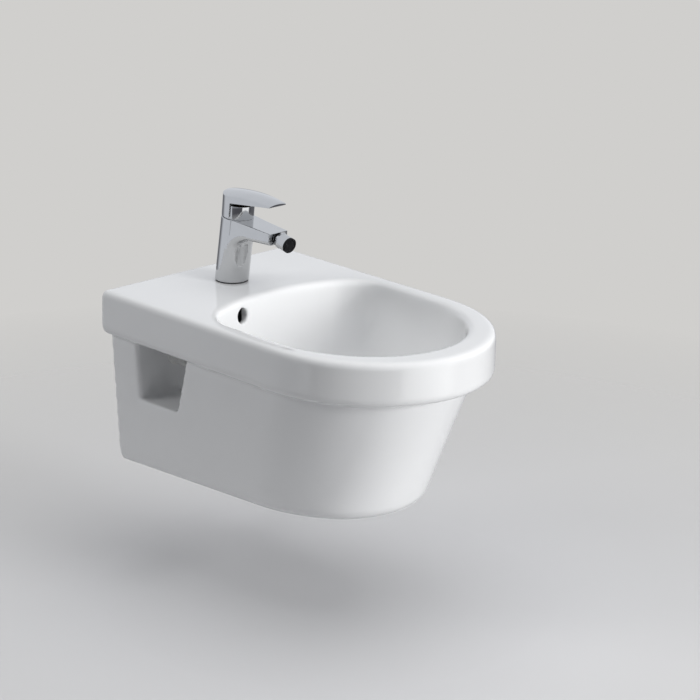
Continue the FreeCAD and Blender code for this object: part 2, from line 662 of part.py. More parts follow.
def make_skirt():
    """The lower casting: skirt, foot, fixing pillars and side recesses, open to the wall and below."""
    body = new_body("china_skirt")
    wall = size.china_wall
    straight, bend = front_of(plan.skirt_width, plan.skirt_tip, size.skirt_front_length,
                              size.skirt_front_round)
    skirt_top = outline(body, "skirt_top", plan.skirt_width, 0, plan.skirt_width, straight, plan.skirt_tip,
                        bend,
                        plan.crease)
    base_straight, base_bend = front_of(plan.base_width, plan.base_depth, size.base_front_length,
                                        size.base_front_round)
    skirt_bottom = outline(body, "skirt_bottom", plan.base_wall_width, 0, plan.base_width, base_straight,
                           plan.base_depth, base_bend, plan.round_top)
    loft(body, "AdditiveLoft", "skirt", [skirt_top, skirt_bottom], ruled=True)
    tall = plan.crease - plan.round_top
    foot = []
    for number, step in enumerate(quarter_steps(5)):
        share = 1 - math.cos(math.radians(step))
        fall = size.base_round_height * math.sin(math.radians(step))
        wall_drift = size.base_wall_draw * 2 / tall * fall
        side_drift = size.base_side_draw * 2 / tall * fall
        front_drift = size.base_front_draw / tall * fall
        foot.append(outline(body, f"foot_outline_{number}",
                            plan.base_wall_width - wall_drift - size.base_round_wall * 2 * share, 0,
                            plan.base_width - side_drift - size.base_round_side * 2 * share, base_straight,
                            plan.base_depth - front_drift - size.base_round_front * share,
                            base_bend - side_drift / 2 - size.base_round_side * share,
                            plan.round_top - fall))
    loft(body, "AdditiveLoft", "foot", foot)
    hollow_top = outline(body, "hollow_top", plan.skirt_width - wall * 2, -size.overlap,
                         plan.skirt_width - wall * 2,
                         straight,
                         plan.skirt_tip - wall, bend - wall, plan.crease + size.lip_height)
    hollow_bottom = outline(body, "hollow_bottom", plan.base_wall_width - wall * 2 - size.base_round_wall,
                            -size.overlap, plan.base_width - wall * 2 - size.base_round_side, base_straight,
                            plan.base_depth - wall - size.base_round_front,
                            base_bend - wall - size.base_round_side, plan.bottom + wall)
    loft(body, "SubtractiveLoft", "hollow", [hollow_top, hollow_bottom], ruled=True)

    def inside_wall(depth, level):
        draw = size.base_wall_draw + (size.base_side_draw - size.base_wall_draw) * depth / base_straight
        return plan.skirt_width / 2 - wall / 2 - draw * (plan.crease - level) / tall

    floor = plan.top - size.recess_bottom
    pillar_plans = [rectangle(body, f"pillar_{end}", "XY_Plane", size.pillar_gap / 2, -size.recess_back,
                              inside_wall(size.recess_back, level), 0, z=level)
                    for end, level in (("top", plan.crease), ("bottom", -size.pillar_height))]
    mirror_feature(body, "pillar_other", loft(body, "AdditiveLoft", "pillar", pillar_plans, ruled=True))
    fill = size.recess_corner_radius * 2
    lean = (size.recess_front_top - size.recess_front_bottom) / (plan.crease - floor)
    below = floor - size.recess_wall
    front_plans = [rectangle(body, f"recess_front_{end}", "XY_Plane", plan.recess_inner,
                             -front - size.recess_wall,
                             inside_wall(front, level), -front, z=level)
                   for end, level, front in (("top", plan.crease, size.recess_front_top),
                                             ("bottom", below, size.recess_front_bottom))]
    mirror_feature(body, "recess_front_other", loft(body, "AdditiveLoft", "recess_front", front_plans,
                                                    ruled=True))
    shelf_points = [(-size.recess_back + size.recess_wall, floor),
                    (-size.recess_front_bottom + fill, floor),
                    (-size.recess_front_bottom - lean * fill, floor + fill),
                    (-size.recess_front_bottom - lean * fill - size.recess_wall, floor + fill),
                    (-size.recess_front_bottom - size.recess_wall, below),
                    (-size.recess_back + size.recess_wall, below)]
    shelf_sketch = polygon(body, "shelf_profile", "YZ_Plane", shelf_points, z=plan.recess_inner)
    shelf = feature(body, "Pad", "shelf", shelf_sketch,
                    Length=inside_wall(size.recess_front_bottom, below) - plan.recess_inner)
    mirror_feature(body, "shelf_other", shelf)
    for side, sign in (("left", -1), ("right", 1)):
        primitive(body, "SubtractiveCylinder", f"fixing_hole_{side}", "XZ_Plane",
                  x=size.fixing_spacing / 2 * sign,
                  z=-size.recess_back, Radius=size.fixing_hole_radius, Height=size.recess_back * 3)
    recess = feature(body, "Pocket", "recess", recess_profile(body, floor, plan.crease),
                     Length=plan.skirt_width / 2, Reversed=True)
    mirror_feature(body, "recess_other", recess)
    service_plan = rectangle(body, "service_plan", "XY_Plane", -size.service_width / 2,
                             -plan.drain - size.service_front, size.service_width / 2, size.overlap,
                             z=plan.bottom - size.overlap)
    service = feature(body, "Pocket", "service_opening", service_plan, Length=wall * 2, Reversed=True)

    def at_recess_edge(edge):
        box = edge.BoundBox
        upright = max(abs(box.YMax + size.recess_back.value), abs(box.YMin + size.recess_back.value)) < NEAR
        outer = max(abs(box.XMin), abs(box.XMax)) > plan.skirt_width.value / 2 - NEAR
        return upright and outer and box.ZLength > size.recess_corner_radius.value

    rounded(body, "recess_edge", service, size.recess_edge_radius, at_recess_edge)
    keep("china_skirt", body)


def bowl_outline(body, name, share, drop, grow):
    """One level of the bowl, or of its shell when it is grown."""
    half = plan.bowl_width / 2 * (1 - size.bowl_side_inset * share)
    back = plan.bowl_back + plan.bowl_length * size.bowl_back_inset * share
    tip = plan.bowl_tip - plan.bowl_length * size.bowl_front_inset * share
    across = half * 2 + grow * 2
    return outline(body, name, across, back + half * size.bowl_back_length, across,
                   tip - half * size.bowl_front_length, tip + grow, half * size.bowl_front_round + grow,
                   plan.top - drop, (back - grow, half * size.bowl_back_round + grow))


def make_duct(body):
    """The overflow duct, from behind the overflow hole down and across to the drain boss."""
    level = plan.drain_level - size.drain_neck_length + size.overflow_duct_radius
    run = plan.drain - plan.duct_back
    heading = Size(math.degrees(math.atan2(-run.value, size.overflow_across.value)),
                   f"(atan2(-{run.text}; {size.overflow_across.text}) / 1 deg)")
    length = root(run * run + size.overflow_across * size.overflow_across)
    high = plan.top - size.overflow_drop + size.overflow_radius
    for kind, made, name, radius, rise in (
            ("AdditiveCylinder", "Pad", "duct", size.overflow_duct_radius, 0),
            ("SubtractiveCylinder", "Pocket", "duct_bore", size.overflow_bore_radius,
             size.overflow_bore_radius / 2)):
        if made == "Pocket":
            hollow_bowl(body)
        primitive(body, kind, f"{name}_drop", "XY_Plane", x=-size.overflow_across, y=-plan.duct_back,
                  z=level - radius, Radius=radius, Height=high - level + radius + rise)
        run_plan = rectangle(body, f"{name}_plan", "XY_Plane", 0, -radius, length, radius,
                             x=-size.overflow_across,
                             y=-plan.duct_back, z=level - radius, axis=Vector(0, 0, 1), degrees=heading)
        settings = {"Reversed": True} if made == "Pocket" else {}
        feature(body, made, f"{name}_run", run_plan, Length=radius * 2, **settings)


BOWL_STEPS = [0, 25, 45, 62, 76, 86]


def bowl_levels():
    """How far each level of the bowl is drawn in and how far it drops, from 0 to 1."""
    return [(1 - math.cos(math.radians(step)), math.sin(math.radians(step))) for step in BOWL_STEPS]


def hollow_bowl(body):
    """Cut the bowl out of its shell."""
    loft(body, "SubtractiveLoft", "bowl", [
        bowl_outline(body, f"bowl_outline_{number}", share, size.bowl_depth * drop, 0)
        for number, (share, drop) in enumerate(bowl_levels())])


def make_rim():
    """The upper casting: rim, tap deck, bowl, drain boss and overflow duct."""
    body = new_body("china_rim")
    wall = size.china_wall
    lip_top = plan.crease + size.lip_height
    straight, bend = front_of(size.rim_width, size.rim_depth, size.rim_front_length, size.rim_front_round)
    low_straight, low_bend = front_of(plan.skirt_width, plan.skirt_tip, size.skirt_front_length,
                                      size.skirt_front_round)

    def rim_outline(name, level, share):
        across = size.rim_width - size.lip_side * 2 * share
        return outline(body, name, across, 0, across, straight - (straight - low_straight) * share,
                       size.rim_depth - size.lip_front * share, bend - (bend - low_bend) * share, level)

    feature(body, "Pad", "rim", rim_outline("rim_outline", lip_top, 0), Length=plan.top - lip_top)
    loft(body, "AdditiveLoft", "lip", [
        rim_outline(f"lip_outline_{number}", lip_top - size.lip_height * math.sin(math.radians(step)),
                    1 - math.cos(math.radians(step))) for number, step in enumerate(quarter_steps(5))])
    under = plan.top - size.deck_thickness
    hollow = outline(body, "deck_hollow_plan", plan.skirt_width - wall * 2, -size.overlap,
                     plan.skirt_width - wall * 2,
                     low_straight, plan.skirt_tip - wall, low_bend - wall, plan.crease)
    feature(body, "Pocket", "deck_hollow", hollow, Length=under - plan.crease, Reversed=True)
    pillar_plan = rectangle(body, "pillar_plan", "XY_Plane", size.pillar_gap / 2, -size.recess_back,
                            plan.skirt_width / 2 - wall + size.overlap, 0, z=plan.crease)
    mirror_feature(body, "pillar_stub_other",
                   feature(body, "Pad", "pillar_stub", pillar_plan,
                           Length=under + size.overlap - plan.crease))
    shell = size.bowl_wall
    shell_top = size.deck_thickness / 2
    loft(body, "AdditiveLoft", "bowl_shell", [
        bowl_outline(body, f"shell_outline_{number}", share,
                     shell_top + (size.bowl_depth + shell - shell_top) * drop,
                     shell) for number, (share, drop) in enumerate(bowl_levels())])
    primitive(body, "AdditiveCylinder", "drain_neck", "XY_Plane", y=-plan.drain,
              z=plan.drain_level - size.drain_neck_length, Radius=size.drain_neck_radius,
              Height=size.drain_neck_length)
    make_duct(body)
    primitive(body, "SubtractiveCylinder", "drain_hole", "XY_Plane", y=-plan.drain,
              z=plan.drain_level - size.drain_neck_length * 2, Radius=size.drain_radius,
              Height=size.drain_neck_length * 2 + wall)
    primitive(body, "SubtractiveCylinder", "drain_seat", "XY_Plane", y=-plan.drain,
              z=plan.drain_level - size.drain_seat_depth, Radius=size.drain_seat_radius, Height=wall)
    primitive(body, "SubtractiveCylinder", "overflow_hole", "XZ_Plane", x=-size.overflow_across,
              y=plan.top - size.overflow_drop, z=plan.duct_back, Radius=size.overflow_radius,
              Height=plan.bowl_back - plan.duct_back + wall * 2)
    tap_hole = primitive(body, "SubtractiveCylinder", "tap_hole", "XY_Plane", y=-size.tap_from_wall,
                         z=plan.top - size.deck_thickness * 2, Radius=size.tap_hole_radius,
                         Height=size.deck_thickness * 3)
    half_bowl = plan.bowl_width.value / 2

    def at_lip(edge):
        box = edge.BoundBox
        return lies_at(edge, plan.top.value) and max(abs(box.XMin), abs(box.XMax)) < half_bowl + NEAR \
            and -plan.bowl_tip.value - NEAR < box.YMin and box.YMax < -plan.bowl_back.value + NEAR

    def at_rim(edge):
        box = edge.BoundBox
        outside = max(abs(box.XMin), abs(box.XMax)) > half_bowl + 1 or box.YMin < -plan.bowl_tip.value - 1
        return lies_at(edge, plan.top.value) and outside and box.YLength > NEAR

    lipped = rounded(body, "bowl_lip", tap_hole, size.bowl_lip_radius, at_lip)
    rounded(body, "rim_edge", lipped, size.rim_edge_radius, at_rim)
    keep("china_rim", body)


def in_head_frame(body):
    """Place a body modelled about the tap head's axis."""
    place(body, "Placement", y=-size.head_from_wall, z=size.rim_top + size.head_height,
          axis=Vector(1, 0, 0),
          degrees=size.head_lean)
    return body


def in_nozzle_frame(body):
    """Place a body modelled about the nozzle's axis."""
    place(body, "Placement", y=-size.ball_from_wall, z=size.rim_top + size.ball_height,
          axis=Vector(1, 0, 0),
          degrees=size.nozzle_drop + 90)
    return body


def in_waste_frame(body):
    """Place a body modelled about the drain."""
    place(body, "Placement", y=-plan.drain, z=plan.drain_level)
    return body


def in_fixing_frame(body):
    """Place a body modelled about the right-hand wall fixing."""
    place(body, "Placement", x=size.fixing_spacing / 2, axis=Vector(1, 0, 0), degrees=90)
    return body


def seen_from_head(back, up):
    """Where a point of the row frame, taken from the head's middle, lies in the head frame."""
    c = cosine(size.head_lean)
    s = sine(size.head_lean)
    return back * c + up * s, up * c - back * s


def rounded_box(body, name, width, height, low, high, forward):
    """A section across the spout: flat top on the head plane, rounded corners."""
    sketch = new_sketch(body, name, "XZ_Plane", z=forward)
    half = width.value / 2
    deep = height.value
    a = low.value
    b = high.value
    floor = sketch.addGeometry(Part.LineSegment(Vector(-half + a, -deep, 0), Vector(half - a, -deep, 0)),
                               False)
    right_low = arc(sketch, Vector(half - a, -deep + a, 0), Vector(half - a, -deep, 0),
                    Vector(half, -deep + a, 0))
    right = sketch.addGeometry(Part.LineSegment(Vector(half, -deep + a, 0), Vector(half, -b, 0)), False)
    right_high = arc(sketch, Vector(half - b, -b, 0), Vector(half, -b, 0), Vector(half - b, 0, 0))
    roof = sketch.addGeometry(Part.LineSegment(Vector(half - b, 0, 0), Vector(-half + b, 0, 0)), False)
    left_high = arc(sketch, Vector(-half + b, -b, 0), Vector(-half + b, 0, 0), Vector(-half, -b, 0))
    left = sketch.addGeometry(Part.LineSegment(Vector(-half, -b, 0), Vector(-half, -deep + a, 0)), False)
    left_low = arc(sketch, Vector(-half + a, -deep + a, 0), Vector(-half, -deep + a, 0),
                   Vector(-half + a, -deep, 0))
    chain = [floor, right_low, right, right_high, roof, left_high, left, left_low]
    for number, shape in enumerate(chain):
        following = chain[(number + 1) % len(chain)]
        sketch.addConstraint(Sketcher.Constraint("Tangent", shape, 2, following, 1))
    for kind, shape in (("Horizontal", floor), ("Horizontal", roof), ("Vertical", right),
                        ("Vertical", left)):
        sketch.addConstraint(Sketcher.Constraint(kind, shape))
    drive(sketch, "Radius", right_low, number=low)
    drive(sketch, "Radius", right_high, number=high)
    sketch.addConstraint(Sketcher.Constraint("Equal", right_low, left_low))
    sketch.addConstraint(Sketcher.Constraint("Equal", right_high, left_high))
    pin(sketch, "DistanceX", -2, right, 1, width / 2)
    pin(sketch, "DistanceX", -2, left, 1, -width / 2)
    pin(sketch, "DistanceY", -1, roof, 1, 0)
    pin(sketch, "DistanceY", -1, floor, 1, -height)
    return sketch


def make_tap_body():
    """The tap's casting: leaning column, spout, cartridge seat, nozzle socket and water ways."""
    body = in_head_frame(new_body("tap_body"))
    foot_y, foot_z = seen_from_head(size.head_from_wall - size.tap_from_wall,
                                    size.gasket_thickness - size.head_height)
    lean = dict(axis=Vector(1, 0, 0), degrees=-size.head_lean)
    head = circle(body, "head_circle", "XY_Plane", size.tap_radius)
    foot = new_sketch(body, "foot_circle", "XY_Plane", y=foot_y, z=foot_z, **lean)
    add_circle(foot, 0, 0, size.tap_radius)
    loft(body, "AdditiveLoft", "column", [head, foot], ruled=True)
    low = size.spout_corner_radius
    high = size.spout_edge_radius
    start = rounded_box(body, "spout_root", size.spout_root_width, size.spout_root_height, low, high, 0)
    bend = rounded_box(body, "spout_bend", size.spout_bend_width, size.spout_bend_height, low, high,
                       size.spout_bend_reach)
    slim = rounded_box(body, "spout_mid", size.spout_mid_width, size.spout_mid_height, low, high,
                       size.spout_mid_reach)
    slim_again = rounded_box(body, "spout_mid_again", size.spout_mid_width, size.spout_mid_height, low,
                             high,
                             size.spout_mid_reach)
    end = rounded_box(body, "spout_end", size.spout_end_width, size.spout_end_height, low, high,
                      size.spout_reach)
    loft(body, "AdditiveLoft", "spout_shoulder", [start, bend, slim])
    loft(body, "AdditiveLoft", "spout_blade", [slim_again, end], ruled=True)
    primitive(body, "SubtractiveCylinder", "cartridge_seat", "XY_Plane", z=-size.cartridge_depth,
              Radius=size.cartridge_radius + size.slide_gap, Height=size.cartridge_depth * 2)
    primitive(body, "SubtractiveCylinder", "nut_seat", "XY_Plane", z=-size.cartridge_top,
              Radius=size.nut_radius + size.slide_gap, Height=size.cartridge_top * 2)
    ball_y, ball_z = seen_from_head(size.head_from_wall - size.ball_from_wall,
                                    size.ball_height - size.head_height)
    tilt = size.nozzle_drop - size.head_lean + 90
    s = sine(size.nozzle_drop - size.head_lean)
    c = cosine(size.nozzle_drop - size.head_lean)
    primitive(body, "SubtractiveCylinder", "nozzle_socket", "XY_Plane", y=ball_y + size.socket_depth * c,
              z=ball_z + size.socket_depth * s, axis=Vector(1, 0, 0), degrees=tilt,
              Radius=size.socket_radius,
              Height=size.socket_depth * 4)
    primitive(body, "SubtractiveCylinder", "water_way", "XZ_Plane", y=ball_z, Radius=size.water_bore_radius,
              Height=-ball_y - size.socket_depth / 2)
    inlet_y, inlet_z = seen_from_head(size.head_from_wall - size.tap_from_wall - size.inlet_front,
                                      size.gasket_thickness - size.head_height)
    for side, sign in (("left", -1), ("right", 1)):
        across = size.inlet_spacing / 2 * sign
        primitive(body, "SubtractiveCylinder", f"inlet_{side}", "XY_Plane", x=across, y=inlet_y, z=inlet_z,
                  Radius=size.inlet_radius, Height=size.inlet_depth, **lean)
        primitive(body, "SubtractiveCylinder", f"feed_{side}", "XY_Plane", x=across, y=inlet_y, z=inlet_z,
                  Radius=size.feed_radius,
                  Height=size.head_height - size.cartridge_depth + size.feed_radius, **lean)
    stud_y, stud_z = seen_from_head(size.head_from_wall - size.tap_from_wall + size.stud_back,
                                    size.gasket_thickness - size.head_height)
    primitive(body, "SubtractiveCylinder", "stud_hole", "XY_Plane", y=stud_y, z=stud_z,
              Radius=size.stud_radius,
              Height=size.stud_depth, **lean)
    keep("tap_body", body)


def make_tap_clamp():
    """What holds the tap to the deck."""
    top = size.rim_top
    gasket = ring("base_gasket", size.tap_hole_radius + size.overlap, size.tap_radius - size.overlap, 0,
                  size.gasket_thickness)
    place(gasket, "Placement", y=-size.tap_from_wall, z=top)
    keep("base_gasket", gasket)
    under = top - size.deck_thickness
    levels = (("clamp_gasket", under - size.gasket_thickness, size.gasket_thickness),
              ("clamp_plate", under - size.gasket_thickness - size.clamp_thickness, size.clamp_thickness))
    for name, level, thickness in levels:
        body = new_body(name)
        feature(body, "Pad", f"{name}_disc", circle(body, f"{name}_circle", "XY_Plane", size.clamp_radius),
                Length=thickness)
        slot = rectangle(body, f"{name}_slot_plan", "XY_Plane", -size.clamp_slot_width / 2,
                         -size.clamp_radius * 2,
                         size.clamp_slot_width / 2, size.stud_back - size.stud_radius * 2)
        feature(body, "Pocket", f"{name}_slot", slot, Length=thickness, Reversed=True)
        primitive(body, "SubtractiveCylinder", f"{name}_hole", "XY_Plane", y=size.stud_back,
                  Radius=size.stud_radius + size.slide_gap, Height=thickness)
        place(body, "Placement", y=-size.tap_from_wall, z=level)
        keep(name, body)
    stud = spun("clamp_stud", [(0, -size.stud_length),
                               (size.stud_radius - size.slide_gap / 2, -size.stud_length),
                               (size.stud_radius - size.slide_gap / 2, size.stud_depth),
                               (0, size.stud_depth)])
    place(stud, "Placement", y=size.stud_back - size.tap_from_wall, z=top + size.gasket_thickness)
    keep("clamp_stud", stud)
    nut = new_body("clamp_nut")
    feature(nut, "Pad", "clamp_nut_hexagon",
            polygon(nut, "clamp_nut_plan", "XY_Plane", hexagon_points(size.clamp_nut_width)),
            Length=size.clamp_nut_height)
    primitive(nut, "SubtractiveCylinder", "clamp_nut_thread", "XY_Plane", Radius=size.stud_radius,
              Height=size.clamp_nut_height)
    place(nut, "Placement", y=size.stud_back - size.tap_from_wall,
          z=under - size.gasket_thickness - size.clamp_thickness - size.clamp_nut_height)
    keep("clamp_nut", nut)


def ported_disc(name, radius, bottom, height):
    """A disc with two inlet ports and one outlet port."""
    body = in_head_frame(new_body(name))
    feature(body, "Pad", f"{name}_disc", circle(body, f"{name}_circle", "XY_Plane", radius, z=bottom),
            Length=height)
    ports = new_sketch(body, f"{name}_ports", "XY_Plane", z=bottom)
    add_circle(ports, size.port_across, size.port_back, size.port_radius)
    add_circle(ports, -size.port_across, size.port_back, size.port_radius)
    add_circle(ports, 0, -size.outlet_front, size.port_radius)
    feature(body, "Pocket", f"{name}_holes", ports, Length=height, Reversed=True)
    return keep(name, body)


def make_cartridge():
    """The mixing cartridge, from its seat to the retaining nut and cover sleeve."""
    seat = -size.cartridge_depth
    base_top = seat + size.cartridge_base_height
    fixed_top = base_top + size.disc_height
    moving_top = fixed_top + size.disc_height
    flange_top = moving_top + size.carrier_flange
    boss_top = flange_top + size.carrier_boss_height
    housing_top = -size.cartridge_top
    lip_bottom = housing_top - size.cartridge_lip
    inner = size.cartridge_radius - size.cartridge_wall
    pivot = -size.pivot_drop
    keep("cartridge_housing", in_head_frame(spun("cartridge_housing", [
        (inner, seat), (size.cartridge_radius, seat), (size.cartridge_radius, housing_top),
        (size.cartridge_mouth_radius, housing_top), (size.cartridge_mouth_radius, lip_bottom),
        (inner, lip_bottom)])))
    ported_disc("cartridge_base", inner - size.slide_gap, seat, size.cartridge_base_height)
    ported_disc("fixed_disc", inner - size.slide_gap, base_top, size.disc_height)

    disc = in_head_frame(spun("moving_disc", [
        (0, fixed_top + size.chamber_depth), (size.chamber_radius, fixed_top + size.chamber_depth),
        (size.chamber_radius, fixed_top), (size.disc_radius, fixed_top), (size.disc_radius, moving_top),
        (0, moving_top)]))
    keep("moving_disc", disc)

    carrier = in_head_frame(new_body("disc_carrier"))
    feature(carrier, "Pad", "carrier_flange_pad",
            circle(carrier, "carrier_circle", "XY_Plane", size.disc_radius, z=moving_top),
            Length=size.carrier_flange)
    boss = rectangle(carrier, "boss_plan", "XY_Plane", -size.carrier_boss_width / 2,
                     -size.carrier_boss_length / 2,
                     size.carrier_boss_width / 2, size.carrier_boss_length / 2, z=flange_top)
    feature(carrier, "Pad", "carrier_boss", boss, Length=size.carrier_boss_height)
    pocket_floor = pivot - size.spindle_arm - size.spindle_ball_radius - size.turn_gap
    primitive(carrier, "SubtractiveCylinder", "ball_pocket", "XY_Plane", z=pocket_floor,
              Radius=size.spindle_ball_radius + size.turn_gap,
              Height=boss_top - pocket_floor + size.overlap)
    keep("disc_carrier", carrier)

    rotor = in_head_frame(new_body("cartridge_rotor"))
    rotor_bottom = flange_top + size.turn_gap
    rotor_top = lip_bottom - size.turn_gap
    feature(rotor, "Pad", "rotor_drum",
            circle(rotor, "rotor_circle", "XY_Plane", inner - size.turn_gap, z=rotor_bottom),
            Length=rotor_top - rotor_bottom)
    guide_half = size.carrier_boss_width / 2 + size.slide_gap
    guide = rectangle(rotor, "guide_plan", "XY_Plane", -guide_half, -size.guide_length / 2, guide_half,
                      size.guide_length / 2, z=rotor_bottom)
    feature(rotor, "Pocket", "guide_slot", guide, Length=boss_top - rotor_bottom + size.turn_gap,
            Reversed=True)
    swing_half = size.spindle_width / 2 + size.slide_gap
    swing = rectangle(rotor, "swing_plan", "XY_Plane", -swing_half, -size.swing_length / 2, swing_half,
                      size.swing_length / 2, z=rotor_bottom)
    feature(rotor, "Pocket", "swing_slot", swing, Length=rotor_top - rotor_bottom, Reversed=True)
    primitive(rotor, "SubtractiveCylinder", "pin_hole", "YZ_Plane", y=pivot, z=-size.cartridge_radius,
              Radius=size.pin_radius, Height=size.cartridge_radius * 2)
    keep("cartridge_rotor", rotor)

    pin_body = in_head_frame(new_body("pivot_pin"))
    primitive(pin_body, "AdditiveCylinder", "pin_bar", "YZ_Plane", y=pivot, z=-size.pin_length / 2,
              Radius=size.pin_radius, Height=size.pin_length)
    keep("pivot_pin", pin_body)

    spindle = in_head_frame(new_body("lever_spindle"))
    half = size.spindle_width / 2
    bar_bottom = pivot - size.spindle_arm + size.spindle_ball_radius + size.turn_gap
    bar = rectangle(spindle, "bar_plan", "XY_Plane", -half, -half, half, half, z=bar_bottom)
    feature(spindle, "Pad", "bar", bar, Length=size.spindle_top - bar_bottom)
    primitive(spindle, "AdditiveCylinder", "ball_neck", "XY_Plane", z=pivot - size.spindle_arm,
              Radius=size.spindle_neck_radius, Height=bar_bottom - pivot + size.spindle_arm)
    primitive(spindle, "AdditiveSphere", "ball", "XY_Plane", z=pivot - size.spindle_arm,
              Radius=size.spindle_ball_radius)
    primitive(spindle, "SubtractiveCylinder", "spindle_pin_hole", "YZ_Plane", y=pivot,
              z=-size.spindle_width,
              Radius=size.pin_radius + size.pin_gap, Height=size.spindle_width * 2)
    keep("lever_spindle", spindle)

    nut = in_head_frame(new_body("cartridge_nut"))
    feature(nut, "Pad", "nut_hexagon",
            polygon(nut, "nut_plan", "XY_Plane", hexagon_points(size.nut_hex_width)),
            Length=size.nut_hex_height)
    primitive(nut, "AdditiveCylinder", "nut_thread", "XY_Plane", z=housing_top, Radius=size.nut_radius,
              Height=size.cartridge_top)
    primitive(nut, "SubtractiveCylinder", "nut_bore", "XY_Plane", z=housing_top * 2,
              Radius=size.nut_bore_radius,
              Height=size.cartridge_top * 3 + size.nut_hex_height)
    keep("cartridge_nut", nut)

    sleeve = in_head_frame(ring("cover_sleeve", size.sleeve_radius - size.sleeve_wall, size.sleeve_radius,
                                0,
                                size.sleeve_height))
    back = rectangle(sleeve, "sleeve_back_plan", "XY_Plane", -size.sleeve_radius * 2, size.sleeve_cut,
                     size.sleeve_radius * 2, size.sleeve_radius * 2, z=size.sleeve_back_height)
    feature(sleeve, "Pocket", "sleeve_back", back, Length=size.sleeve_height, Reversed=True)
    keep("cover_sleeve", sleeve)


